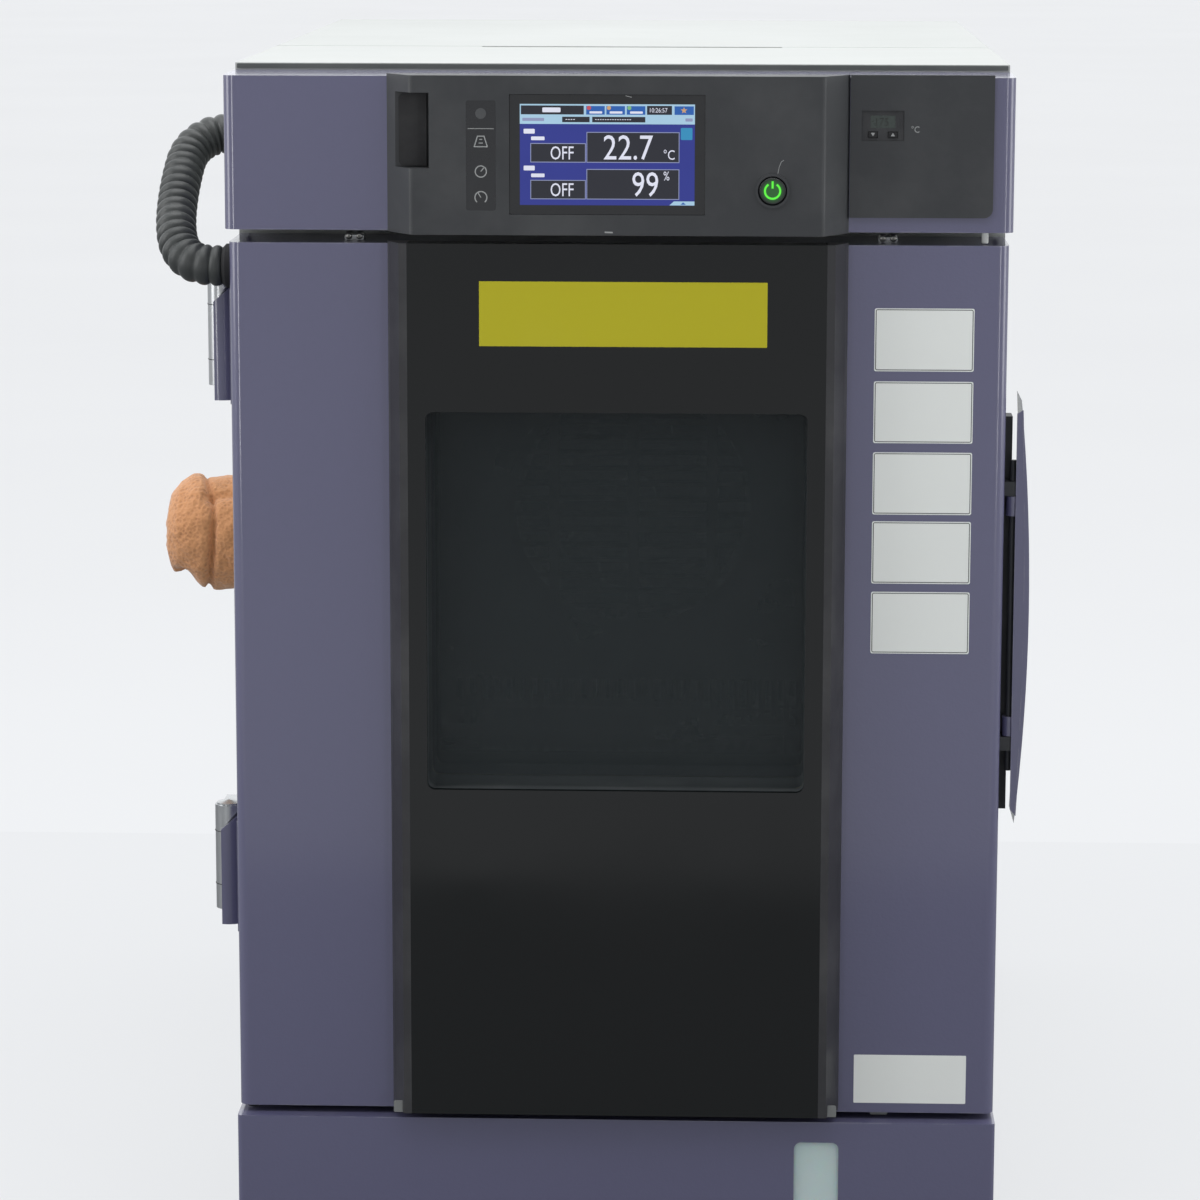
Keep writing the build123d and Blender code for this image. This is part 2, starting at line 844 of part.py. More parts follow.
def compressor():
    """Welded compressor can on a foot plate, with its accumulator beside it."""
    x, y = compressor_x, case_depth - compressor_rear_gap
    r, h = compressor_radius, compressor_height
    profile = [(0, compressor_bottom), (r - compressor_chamfer, compressor_bottom),
               (r, compressor_shoulder), (r, h - compressor_shoulder),
               (r - compressor_shoulder, h - compressor_dome), (0, h)]
    can = turned(profile, (x, y, pan_top), (0, 0, 1))
    plate = Pos(x, y) * rounded(2 * r, 2 * r, compressor_plate_radius)
    can += rising(plate, (pan_top + compressor_foot, pan_top + compressor_foot + compressor_plate))
    reach = r - compressor_foot_inset
    for dx in (-reach, reach):
        for dy in (-reach, reach):
            foot = Pos(x + dx, y + dy) * Circle(compressor_foot_radius)
            can += rising(foot, (pan_top, pan_top + compressor_foot))
    top = h - flask_top_gap
    flask = [(0, flask_bottom), (flask_radius, flask_bottom + flask_cone),
             (flask_radius, top - flask_cone), (0, top)]
    return can + turned(flask, (x + r + flask_offset, y, pan_top), (0, 0, 1))


def condenser():
    """Finned heat exchanger on the floor of the machine space."""
    fins = comb(condenser_width - 2 * condenser_end_plate, condenser_depth, condenser_pitch,
                condenser_cut)
    middle_y = condenser_front + condenser_depth / 2
    core = Pos(condenser_centre_x, middle_y) * rising(
        fins, (pan_top + condenser_rise, pan_top + condenser_height))
    for side in (-1, 1):
        edge = condenser_centre_x + side * condenser_width / 2
        core += block((edge - side * condenser_end_plate, edge), (condenser_front, condenser_rear),
                      (pan_top, pan_top + condenser_height))
    return core


def condenser_fan_frame():
    """Square frame of the condenser fan, with its motor on three struts."""
    y = (condenser_rear, condenser_rear + fan_frame_depth)
    x, z = condenser_centre_x, condenser_middle_z
    side = 2 * (fan_frame_radius + fan_frame_wall)
    square = rounded(side, side, fan_frame_corner)
    frame = upright(square - Circle(fan_frame_radius), y, x, z)
    spider = Circle(spider_radius)
    strut = Pos(fan_frame_radius / 2, 0) * Rectangle(fan_frame_radius + fan_frame_wall / 2, strut_width)
    for i in range(strut_count):
        spider += Rot(0, 0, 360 * i / strut_count + 30) * strut
    frame += upright(spider, (y[1] - strut_depth, y[1]), x, z)
    frame += upright(Circle(condenser_motor_radius), (y[1] - condenser_motor_depth, y[1]), x, z)
    bore = Circle(condenser_shaft_radius + running_gap)
    return frame - upright(bore, (y[0], y[1] - strut_depth), x, z)


def condenser_fan():
    """Five-bladed axial fan on its shaft."""
    x, z = condenser_centre_x, condenser_middle_z
    front = condenser_rear + condenser_hub_gap
    motor_front = condenser_rear + fan_frame_depth - condenser_motor_depth
    fan = upright(Circle(condenser_hub_radius), (front, motor_front - 1), x, z)
    section = Rectangle(condenser_blade_width, condenser_blade_thickness)
    root = condenser_hub_radius - 4
    blade = extrude(Rot(0, 0, condenser_blade_pitch) * section, amount=condenser_fan_radius - root)
    blade = Pos(0, condenser_rear + condenser_blade_place, root) * blade
    for i in range(condenser_blade_count):
        fan += Pos(x, 0, z) * (Rot(0, 360 * i / condenser_blade_count, 0) * blade)
    shaft = Circle(condenser_shaft_radius)
    shaft_end = motor_front + condenser_motor_depth - 1.5 * strut_depth
    return fan + upright(shaft, (front, shaft_end), x, z)


def electrical_box():
    """Folded steel box for the wiring, on the inside of the back plate."""
    x = side_inner - electrical_side_gap
    y = (rear_inner - electrical_depth, rear_inner)
    z = (tub_centre_z + electrical_rise, housing_top - electrical_drop)
    box = block((-x, x), y, z)
    return box - block((-x + sheet, x - sheet), (y[0] + sheet, y[1] + sheet),
                       (z[0] + sheet, z[1] - sheet))


# Control housing

def protector_place(outline, y):
    """An outline at the overheat protector's place on the film plate."""
    return upright(outline, y, protector_x, protector_z)


def control_housing():
    """Painted box across the top of the front, open behind, cut out behind the controls."""
    z = (housing_bottom, housing_top)
    outer = front_edges(block((-half_width, half_width), (0, case_front), z), door_edge_radius)
    inner = block((-half_width + sheet, half_width - sheet), (sheet, case_front + sheet),
                  (z[0] + sheet, z[1] - sheet))
    shell = outer - front_edges(inner, door_edge_radius - sheet)
    y = (-sheet, 2 * sheet)
    shell -= block((-panel_x + housing_cut_left, panel_x - housing_cut_right), y,
                   (z[0] + housing_cut_end, z[1] - housing_cut_end))
    return shell - protector_place(Rectangle(protector_width, protector_height), y)


def recess_walls(deep, body):
    """Floor and three walls of the recess for the service socket, kept inside the moulding."""
    x = (-panel_x + 2 * panel_wall, usb_x[1] + panel_wall)
    z = (usb_z[0] - panel_wall, usb_z[1] + panel_wall)
    y = (-deep, usb_floor + panel_wall)
    walls = block((x[0] - panel_wall, x[1]), (usb_floor, y[1]), z)
    walls += block(x, y, (z[0], usb_z[0])) + block(x, y, (usb_z[1], z[1]))
    walls += block((usb_x[1], x[1]), y, z)
    return walls & body


def panel_moulding():
    """Dark moulding with bevelled sides, for the screen, the button and the socket's recess."""
    z = (panel_bottom, panel_top)
    outline = [(-panel_x, 0), (-panel_face_x, -panel_depth), (panel_face_x, -panel_depth), (panel_x, 0)]
    outer = rising(plan(outline), z)
    deep = panel_depth - panel_wall
    wide, narrow = panel_x - 2 * panel_wall, panel_face_x - panel_wall / 3
    hollow = rising(plan([(-wide, sheet), (-narrow, -deep), (narrow, -deep), (wide, sheet)]),
                    (z[0] + panel_wall, z[1] - panel_wall))
    panel = front_edges(outer, panel_edge_radius) - hollow + recess_walls(deep, outer)
    panel -= block(usb_x, (-panel_depth - 1, usb_floor), usb_z)
    panel -= upright(Rectangle(screen_width, screen_height), (-panel_depth - 1, 0),
                     screen_shift_x, screen_centre_z)
    panel += upright(Circle(bezel_radius), (button_face, -deep), button_x, button_z)
    panel -= upright(Circle(button_radius + moving_gap), (button_face - 1, 0), button_x, button_z)
    return panel - upright(Rectangle(socket_width, socket_height), (usb_floor - 1, 0),
                           socket_x, socket_z)


def film_plate():
    """Flat dark plate to the right of the moulding, cut out for the overheat protector."""
    film = block((film_left, film_right), (-film_thickness, 0), (film_bottom, panel_top))
    corner = film.edges().filter_by(Axis.Y).group_by(Axis.Z)[0].sort_by(Axis.X)[-1]
    film = fillet(corner, film_radius)
    return film - protector_place(Rectangle(protector_width, protector_height),
                                  (-2 * film_thickness, film_thickness))


def touch_screen():
    """Touch screen in the panel's opening, with its chassis behind."""
    face = -panel_depth + screen_set_back
    back = face + screen_thickness
    glass = rounded(screen_width - screen_set_back, screen_height - screen_set_back, 1)
    screen = upright(glass, (face, back), screen_shift_x, screen_centre_z)
    chassis = Rectangle(screen_width, screen_height)
    return screen + upright(chassis, (back, -1), screen_shift_x, screen_centre_z)


def power_button():
    """Round power button in the moulded ring of the panel, with its plunger."""
    profile = [(0, 0), (button_radius - button_chamfer, 0), (button_radius, button_chamfer),
               (button_radius, button_thickness), (plunger_radius, button_thickness),
               (plunger_radius, plunger_length), (0, plunger_length)]
    return turned(profile, (button_x, button_face, button_z), (0, 1, 0))


def overheat_protector():
    """Small set-point module let into the film plate, with two pockets for its keys."""
    body = Rectangle(protector_width, protector_height)
    module = protector_place(body, (protector_face, protector_depth))
    pocket = Rectangle(key_width + 2 * moving_gap, key_height + 2 * moving_gap)
    for side in (-1, 1):
        module -= upright(pocket, (protector_face - 1, protector_face + key_pocket),
                          protector_x + side * key_spacing / 2, key_z)
    return module


def protector_key(side):
    """One of the two keys of the overheat protector."""
    y = (protector_face - key_travel, protector_face + key_depth)
    return upright(Rectangle(key_width, key_height), y, protector_x + side * key_spacing / 2, key_z)


def usb_cover():
    """Rubber flap over the service socket, hinged on its inner edge."""
    back = usb_floor - moving_gap
    flap = block((-panel_x + usb_cover_left, usb_x[1] - usb_cover_right),
                 (back - usb_cover_thickness, back),
                 (usb_z[0] + usb_cover_gap, usb_z[1] - usb_cover_gap))
    return fillet(flap.edges().filter_by(Axis.Y).group_by(Axis.X)[0], usb_cover_radius)


def usb_socket():
    """Metal socket in the floor of the recess."""
    end = usb_floor + socket_depth
    outer = Rectangle(socket_width, socket_height)
    inner = Rectangle(socket_width - 2 * socket_wall, socket_height - 2 * socket_wall)
    socket = upright(outer, (usb_floor, end + 2), socket_x, socket_z)
    return socket - upright(inner, (usb_floor - 1, end), socket_x, socket_z)


# Cable port and hose

def cable_port_tube():
    """Tube from the side wall to the tub, with a flange outside."""
    r, wall = port_radius, side_x - tub_x
    profile = [(r, 0), (r + port_wall, 0), (r + port_wall, wall), (port_flange, wall),
               (port_flange, wall + port_flange_thickness), (r, wall + port_flange_thickness)]
    return turned(profile, (-tub_x, port_y, port_z), (-1, 0, 0))


def cable_port_plug():
    """Foam plug: a stem in the tube and a rounded bulb outside."""
    r, bulb = port_radius - moving_gap, plug_bulb_radius
    start = tub_x + plug_inner_end
    stem = side_x + port_flange_thickness + moving_gap - start
    reach = plug_reach - start
    profile = [(0, 0), (r - plug_tip, 0), (r, plug_tip), (r, stem), (bulb - plug_shoulder / 2, stem),
               (bulb, stem + plug_shoulder)]
    steps = 3
    for i in range(steps + 1):
        angle = math.radians(90 * i / steps)
        profile.append((bulb - plug_round + plug_round * math.cos(angle),
                        reach - plug_round + plug_round * math.sin(angle)))
    profile.append((0, reach))
    return turned(profile, (-start, port_y, port_z), (-1, 0, 0))


def hose_gland(x, y, z):
    """Ring that holds one end of the hose against a wall that faces left."""
    profile = [(0, 0), (gland_radius, 0), (gland_radius, gland_length - gland_chamfer),
               (gland_radius - gland_chamfer, gland_length), (0, gland_length)]
    return turned(profile, (x, y, z), (-1, 0, 0))


def hose():
    """Cable hose from the case down to the door: straight runs joined by tangent arcs."""
    start = (-side_x - gland_length, hose_exit_y, hose_exit_z)
    end = (-door_x - gland_length, hose_door_y, hose_door_z)
    route = [start, (-236, hose_exit_y, hose_exit_z), (-246.4, 117, 642.5), (-253.4, 107, 635.5),
             (-255, 91, 624.5), (-255.5, 72, 611), (-254.5, 54, 598), (-251, 39, 587),
             (-244, 29, 580.5), (-234.5, hose_door_y, hose_door_z), end]
    corners = [Vector(*p) for p in route]
    radii = []
    for a, b, c in zip(corners, corners[1:], corners[2:]):
        turn = math.radians((b - a).get_angle(c - b))
        shorter = min((b - a).length, (c - b).length)
        radii.append(0.45 * shorter / math.tan(turn / 2))
    path = FilletPolyline(*route, radius=radii)
    tube = sweep(Plane(origin=path @ 0, z_dir=path % 0) * Circle(hose_diameter / 2), path=path)
    share = tube.volume / (math.pi * hose_diameter ** 2 / 4 * path.length)
    print("hose radii", [round(r, 1) for r in radii])
    print("hose length", round(path.length, 1), "volume share", round(share, 4))
    return tube


# Hinges and latch

def at_hinge(outline):
    """An outline drawn round the hinge's axis, in plan."""
    return Pos(hinge_x, hinge_y) * outline


def knuckle(z):
    """One barrel of a hinge, bored for the pin."""
    return rising(at_hinge(Circle(hinge_radius) - Circle(pin_radius + running_gap)), z)


def case_hinges():
    """Upper and lower knuckles of both hinges, on leaves bolted to the side wall."""
    hinges = []
    y = case_front + leaf_clearance
    inner, outer = hinge_x + leaf_half, hinge_x - leaf_half
    leaf = plan([(outer, hinge_y + leaf_thickness), (inner, hinge_y + leaf_thickness), (inner, y),
                 (-side_x, y), (-side_x, y + leaf_step), (outer, y + leaf_step)])
    hollow = at_hinge(Circle(hinge_radius - knuckle_root))
    for bottom in hinge_bottoms:
        top = bottom + hinge_height
        hinge = block((-side_x - leaf_thickness, -side_x), (y, y + leaf_length), (bottom, top))
        for z in ((bottom, bottom + knuckle_lower_split), (bottom + knuckle_upper_split, top)):
            hinge += rising(leaf, z) - rising(hollow, z) + knuckle(z)
        hinges.append(hinge)
    return hinges


def door_hinges():
    """Middle knuckle of each hinge, on a pad on the door's side."""
    hinges = []
    for bottom in hinge_bottoms:
        z = (bottom + knuckle_lower_split + knuckle_gap, bottom + knuckle_upper_split - knuckle_gap)
        arm = block((hinge_x, -door_x), (hinge_y - leaf_half, hinge_y + leaf_half), z)
        arm -= rising(at_hinge(Circle(hinge_radius - knuckle_root)), z)
        hinges.append(arm + knuckle(z))
    return hinges


def hinge_pins():
    """A steel pin with a domed head in each hinge."""
    head = hinge_radius - knuckle_root
    rim = hinge_height + pin_head_height
    profile = [(0, 0), (pin_radius, 0), (pin_radius, hinge_height), (head, hinge_height),
               (head, rim), (0, rim + pin_dome)]
    return [turned(profile, (hinge_x, hinge_y, bottom), (0, 0, 1)) for bottom in hinge_bottoms]


def hinge_covers():
    """Painted covers on the door that curve round the front of each barrel."""
    inner = hinge_radius + hinge_cover_gap
    outer = inner + hinge_cover_wall
    front = hinge_y - cover_front
    ring = Circle(outer) - Circle(inner)
    keep = plan([(-cover_side, -2 * outer), (hinge_offset, -2 * outer), (hinge_offset, -cover_front),
                 (-cover_side, -cover_front)])
    outline = at_hinge(ring & keep)
    x = (-door_x - hinge_cover_wall, -door_x)
    outline += plan([(x[0], front - cover_tab), (x[1], front - cover_tab), (x[1], front - 1),
                     (x[0], front - 1)])
    covers = []
    for bottom in hinge_bottoms:
        top = bottom + hinge_height - cover_short
        cover = rising(outline, (bottom - cover_below, top))
        slant = Plane(origin=(hinge_x - leaf_half, hinge_y, top - cover_slant_drop),
                      x_dir=(1, 0, 0), z_dir=(-0.65, 0, 0.76))
        covers.append(split(cover, slant, keep=Keep.BOTTOM))
    return covers


def at_pivot(outline):
    """An outline drawn round the handle's pivot, in plan."""
    return Pos(lever_pivot_x, lever_pivot_y) * outline


def handle_carrier():
    """Dark base of the handle on the door's side, with two ears and the pins of lever and pawl."""
    depth = carrier_rear - carrier_front
    outline = plan([(0, carrier_bottom), (depth, carrier_bottom),
                    (depth, carrier_top - carrier_slant_z),
                    (depth - carrier_slant_y, carrier_top), (0, carrier_top)])
    carrier = sideways(outline, (door_x, door_x + carrier_depth), carrier_front)
    front, back = lever_pivot_y - lever_eye_radius, lever_pivot_y + lever_eye_radius
    ear = at_pivot(Circle(lever_eye_radius))
    ear += plan([(door_x, front), (lever_pivot_x, front), (lever_pivot_x, back),
                 (door_x + lever_eye_arm, carrier_front), (door_x, carrier_front)])
    for middle in (carrier_bottom + ear_inset, carrier_top - ear_inset):
        carrier += rising(ear, (middle - ear_height / 2, middle + ear_height / 2))
    pin = at_pivot(Circle(lever_pin_radius))
    carrier += rising(pin, (carrier_bottom + pin_end, carrier_top - pin_end))
    half = pawl_thickness / 2 + pawl_gap
    slot = (carrier_middle - half, carrier_middle + half)
    carrier -= block((door_x + pawl_gap / 2, door_x + 4 * carrier_depth),
                     (pawl_pivot_y - 2 * lever_eye_radius, handle_rear), slot)
    pawl_pin = Pos(pawl_x, pawl_pivot_y) * Circle(pawl_pin_radius)
    return carrier + rising(pawl_pin, (slot[0] - pawl_thickness / 2, slot[1] + pawl_thickness / 2))


def handle_lever():
    """Bowed painted blade with two eyes on the carrier's pin."""
    tip = door_x + handle_tip_out
    outer = ThreePointArc((tip, handle_bottom), (handle_reach, handle_middle), (tip, handle_top))
    inner = ThreePointArc((tip, handle_top), (handle_reach - handle_blade, handle_middle),
                          (tip, handle_bottom))
    face = Plane.XZ * make_face([outer, inner])
    blade = Pos(0, handle_rear, 0) * extrude(face, amount=handle_rear - handle_front)
    end = handle_reach - handle_blade
    eye = at_pivot(Circle(lever_eye_radius))
    eye += plan([(lever_pivot_x, lever_pivot_y - lever_eye_arm), (end, lever_pivot_y - lever_eye_arm),
                 (end, lever_pivot_y + lever_eye_arm), (lever_pivot_x, lever_pivot_y + lever_eye_arm)])
    bore = at_pivot(Circle(lever_pin_radius + running_gap))
    ear_top = carrier_bottom + ear_inset + ear_height / 2
    ear_bottom = carrier_top - ear_inset - ear_height / 2
    for low in (ear_top + ear_gap, ear_bottom - ear_gap - lever_eye_height):
        z = (low, low + lever_eye_height)
        blade += rising(eye, z)
        blade -= rising(bore, (z[0] - 1, z[1] + 1))
    return blade


def latch_pawl():
    """Latch arm on its pin in the carrier, reaching back to the keeper on the case."""
    half, nose = pawl_width / 2, case_front + pawl_reach
    arm = plan([(pawl_x - half, pawl_pivot_y), (pawl_x + half, pawl_pivot_y),
                (pawl_x + half, nose - pawl_nose), (pawl_x + half - pawl_nose_bevel, nose),
                (pawl_x - half, nose)])
    arm += Pos(pawl_x, pawl_pivot_y) * Circle(half + pawl_hub)
    arm -= Pos(pawl_x, pawl_pivot_y) * Circle(pawl_pin_radius + running_gap)
    return rising(arm, (carrier_middle - pawl_thickness / 2, carrier_middle + pawl_thickness / 2))


def latch_keeper():
    """Keeper on the case's side: two cheeks with a pocket for the pawl between them."""
    y = (case_front + keeper_front, case_front + keeper_front + keeper_depth)
    half = keeper_height / 2
    plate = block((side_x, side_x + keeper_plate), y, (carrier_middle - half, carrier_middle + half))
    for side in (-1, 1):
        near = carrier_middle + side * (pawl_thickness / 2 + keeper_clearance)
        plate += block((side_x, side_x + keeper_cheek), (y[0], y[1] - 2 * keeper_clearance),
                       (near, carrier_middle + side * half))
    return plate


# Door

def window(grow):
    """The window's outline, made larger all round."""
    return rounded(window_width + 2 * grow, window_height + 2 * grow, window_radius + grow)


def through_window(grow, y):
    """What the window takes out of the door between two Y limits."""
    return upright(window(grow), y, 0, tub_centre_z)


def door_shell():
    """Painted door skin, folded back on four sides, open for the window's frame."""
    z = (door_bottom, door_top)
    outer = front_edges(block((-door_x, door_x), (0, door_depth), z), door_edge_radius)
    inner = block((-door_x + sheet, door_x - sheet), (sheet, door_depth + sheet),
                  (z[0] + sheet, z[1] - sheet))
    inner = front_edges(inner, door_edge_radius - sheet)
    return outer - inner - through_window(window_frame_wall, (-sheet, 2 * sheet))


def door_insulation():
    """Foam that fills the door and its inner plug, round the window."""
    y = (sheet, door_depth - tub_wall)
    foam = block((-door_x + sheet, door_x - sheet), y, (door_bottom + sheet, door_top - sheet))
    foam = front_edges(foam, door_edge_radius - sheet)
    foam += plug_form(tub_wall, (door_depth - tub_wall, plug_end - tub_wall))
    return foam - through_window(window_frame_wall, (0, plug_end))


def plug_form(inset, y):
    """The tapered plug on the back of the door, made smaller all round by an inset."""
    shapes = []
    for level in y:
        shrink = 2 * inset + 2 * plug_taper * (level - door_depth) / plug_depth
        outline = rounded(plug_width - shrink, plug_height - shrink, tub_radius)
        plane = Plane(origin=(0, level, tub_centre_z), x_dir=(1, 0, 0), z_dir=(0, -1, 0))
        shapes.append(plane * outline)
    return loft(shapes)


def door_liner():
    """Stainless inner skin of the door, pressed out into the plug that enters the tub."""
    y = (door_depth - tub_wall, door_depth)
    liner = block((-door_x + sheet, door_x - sheet), y, (door_bottom + sheet, door_top - sheet))
    liner += plug_form(0, (door_depth, plug_end))
    liner -= plug_form(tub_wall, (door_depth - tub_wall, plug_end - tub_wall))
    return liner - through_window(window_frame_wall, (0, plug_end + tub_wall))


def door_gasket():
    """Soft sealing ring round the plug, against the front frame."""
    grow = 2 * (gasket_lap + plug_clearance)
    width, height = plug_width + grow, plug_height + grow
    outer = rounded(width + 2 * gasket_width, height + 2 * gasket_width, gasket_radius)
    inner = rounded(width, height, gasket_radius - gasket_width)
    ring = upright(outer - inner, (door_depth, case_front - gasket_gap), 0, tub_centre_z)
    return chamfer(ring.faces().sort_by(Axis.Y)[-1].edges(), gasket_chamfer)


def window_frame():
    """Deep frame that lines the window from the front strip to the inner skin."""
    y = (-strip_depth + glass_thickness, plug_end)
    return upright(window(window_frame_wall) - window(0), y, 0, tub_centre_z)


def window_panes():
    """Four panes across the window, the front one set back from the strip."""
    fronts = (-strip_depth + pane_recess, sheet + second_pane_depth, door_depth - third_pane_gap,
              plug_end - pane_thickness)
    return [through_window(0, (y, y + pane_thickness)) for y in fronts]


def door_front_panel():
    """Black glossy strip down the middle of the door, open over the window."""
    z = (glass_bottom, glass_top)
    panel = block((-glass_x, glass_x), (-strip_depth, 0), z)
    inner = glass_x - glass_wall
    panel -= block((-inner, inner), (-strip_depth + glass_thickness, glass_wall),
                   (z[0] + glass_wall, z[1] - glass_wall))
    return panel - through_window(0, (-2 * strip_depth, 0))


def door_trims():
    """Bevelled grey strips down both sides of the black panel."""
    outer = glass_x + trim_width
    right = plan([(glass_x, 0), (outer, 0), (outer - trim_lean, -trim_foot),
                  (outer - trim_bevel, -strip_depth), (glass_x, -strip_depth)])
    trim = rising(right, (glass_bottom, glass_top))
    return [trim, mirror(trim, Plane.YZ)]


# Base drawer

def base_front_panel():
    """Painted front of the base, folded back on four sides, with the level slot."""
    x = half_width - drawer_inset
    y = (-drawer_front_lip, case_front - drawer_gap)
    z = (foot_height + drawer_ground_gap, base_top)
    outer = front_edges(block((-x, x), y, z), door_edge_radius / 2)
    inner = block((-x + sheet, x - sheet), (y[0] + sheet, y[1] + sheet), (z[0] + sheet, z[1] - sheet))
    slot = rounded(slot_width, slot_z[1] - slot_z[0], slot_radius)
    return outer - inner - upright(slot, (y[0] - sheet, y[0] + 2 * sheet), slot_centre_x,
                                   (slot_z[0] + slot_z[1]) / 2)


def tank_tray():
    """Folded tray behind the base front, which slides on the runners and holds the tank."""
    inner = (tank_x[0] - moving_gap, tank_x[1] + moving_gap)
    y = (-drawer_front_lip + sheet, tank_length)
    tray = block((inner[0] - sheet, inner[1] + sheet), y, (runner_top, runner_top + tray_height))
    return tray - block(inner, (y[0] - sheet, y[1] - sheet),
                        (runner_top + sheet, runner_top + tray_height + sheet))


def water_tank():
    """Translucent blow-moulded tank with a filling neck."""
    bottom = runner_top + sheet
    y = (-drawer_front_lip + sheet + moving_gap, tank_length - sheet - moving_gap)
    outer = block(tank_x, y, (bottom, tank_top))
    outer = fillet(outer.edges().filter_by(Axis.Z), tank_radius)
    inner = block((tank_x[0] + tank_wall, tank_x[1] - tank_wall), (y[0] + tank_wall, y[1] - tank_wall),
                  (bottom + tank_wall, tank_top - tank_wall))
    inner = fillet(inner.edges().filter_by(Axis.Z), tank_radius - tank_wall)
    place = Pos(slot_centre_x, neck_y)
    neck = rising(place * Circle(neck_radius), (tank_top, tank_top + neck_height))
    bore = rising(place * Circle(neck_radius - tank_wall),
                  (tank_top - 1.5 * tank_wall, tank_top + neck_height + tank_wall))
    return outer + neck - inner - bore


def tank_cap():
    """Ribbed screw cap on the filling neck."""
    bore = neck_radius + moving_gap
    ceiling, top = neck_height + moving_gap, moving_gap + cap_height
    profile = [(bore, moving_gap), (cap_radius, moving_gap), (cap_radius, top - cap_chamfer),
               (cap_radius - cap_chamfer, top), (0, top), (0, ceiling), (bore, ceiling)]
    cap = turned(profile, (slot_centre_x, neck_y, tank_top), (0, 0, 1))
    z = (tank_top + moving_gap + cap_chamfer, tank_top + top - 2 * cap_chamfer)
    for i in range(cap_rib_count):
        rib = Rot(0, 0, 360 * i / cap_rib_count) * Pos(cap_radius, 0) * Rectangle(cap_rib_depth,
                                                                                 cap_rib_width)
        cap += rising(Pos(slot_centre_x, neck_y) * rib, z)
    return cap


# Rear fittings

def drain_port():
    """Drain spigot on the back plate."""
    r, flange = drain_radius, drain_radius + drain_flange
    profile = [(r - drain_wall, 0), (flange, 0), (flange, drain_flange_thickness),
               (r, drain_flange_thickness), (r, drain_length), (r - drain_wall, drain_length)]
    return turned(profile, (drain_x, case_depth, drain_z), (0, 1, 0))


def power_inlet():
    """Mains inlet on the back plate, with the breaker's slotted housing above it."""
    y = (case_depth, case_depth + inlet_depth)
    inlet = upright(rounded(inlet_width, inlet_height, inlet_corner), y, inlet_x, inlet_z)
    mouth = rounded(inlet_mouth_width, inlet_mouth_height, inlet_mouth_corner)
    inlet -= upright(mouth, (y[0] + inlet_floor, y[1] + 1), inlet_x, inlet_z)
    for i in (-1, 0, 1):
        pin = Rectangle(inlet_pin_width, inlet_pin_height)
        inlet += upright(pin, (y[0] + 1, y[1] - 1), inlet_x + i * inlet_pin_spacing, inlet_z + 1)
    breaker = upright(rounded(breaker_width, breaker_height, inlet_mouth_corner), y, inlet_x, breaker_z)
    slot = Rectangle(breaker_slot_width + 2 * moving_gap, breaker_slot_height)
    breaker -= upright(slot, (y[0] + breaker_floor, y[1] + 1), inlet_x, breaker_z)
    x = (inlet_x - breaker_slot_width, inlet_x + breaker_slot_width)
    return [inlet, breaker + sideways(Circle(breaker_pin_radius), x, breaker_y, breaker_z)]


def breaker_lever():
    """Toggle of the breaker."""
    x = (inlet_x - breaker_slot_width / 2, inlet_x + breaker_slot_width / 2)
    outline = Circle(breaker_hub_radius) + plan(breaker_arm)
    outline -= Circle(breaker_pin_radius + running_gap)
    return sideways(outline, x, breaker_y, breaker_z)


def build():
    """Every sub-part by its name."""
    return {
        "base_pan": base_pan(),
        "levelling_feet": levelling_feet(),
        "side_panel_left": side_panel(-1),
        "side_panel_right": side_panel(1),
        "rear_panel": rear_panel(),
        "top_plates": top_plates(),
        "front_frame": front_frame(),
        "inner_tub": inner_tub(),
        "tub_insulation": tub_insulation(),
        "duct_panel": duct_panel(),
        "fan_guard": fan_guard(),
        "shelf_standards": shelf_standards(),
        "evaporator_coil": evaporator_coil(),
        "heater_coil": heater_coil(),
        "humidifying_tray": humidifying_tray(),
        "temperature_sensor": temperature_sensor(),
        "circulation_fan": circulation_fan(),
        "fan_motor": fan_motor(),
        "compressor": compressor(),
        "condenser": condenser(),
        "condenser_fan_frame": condenser_fan_frame(),
        "condenser_fan": condenser_fan(),
        "electrical_box": electrical_box(),
        "control_housing": control_housing(),
        "control_panel": [panel_moulding(), film_plate()],
        "touch_screen": touch_screen(),
        "power_button": power_button(),
        "overheat_protector": overheat_protector(),
        "key_down": protector_key(-1),
        "key_up": protector_key(1),
        "usb_cover": usb_cover(),
        "usb_socket": usb_socket(),
        "cable_port_tube": cable_port_tube(),
        "cable_port_plug": cable_port_plug(),
        "hose_gland_case": hose_gland(-side_x, hose_exit_y, hose_exit_z),
        "hose_gland_door": hose_gland(-door_x, hose_door_y, hose_door_z),
        "hose": hose(),
        "case_hinges": case_hinges(),
        "door_hinges": door_hinges(),
        "hinge_pins": hinge_pins(),
        "hinge_covers": hinge_covers(),
        "handle_carrier": handle_carrier(),
        "handle_lever": handle_lever(),
        "latch_pawl": latch_pawl(),
        "latch_keeper": latch_keeper(),
        "door_shell": door_shell(),
        "door_insulation": door_insulation(),
        "door_liner": door_liner(),
        "door_gasket": door_gasket(),
        "window_frame": window_frame(),
        "window_panes": window_panes(),
        "door_front_panel": door_front_panel(),
        "door_trims": door_trims(),
        "base_front_panel": base_front_panel(),
        "tank_tray": tank_tray(),
        "water_tank": water_tank(),
        "tank_cap": tank_cap(),
        "drain_port": drain_port(),
        "power_inlet": power_inlet(),
        "breaker_lever": breaker_lever(),
    }


def solids_of(made):
    """The solids of one sub-part, which is one shape or a list of them."""
    shapes = made if isinstance(made, list) else [made]
    return [solid for shape in shapes for solid in shape.solids()]


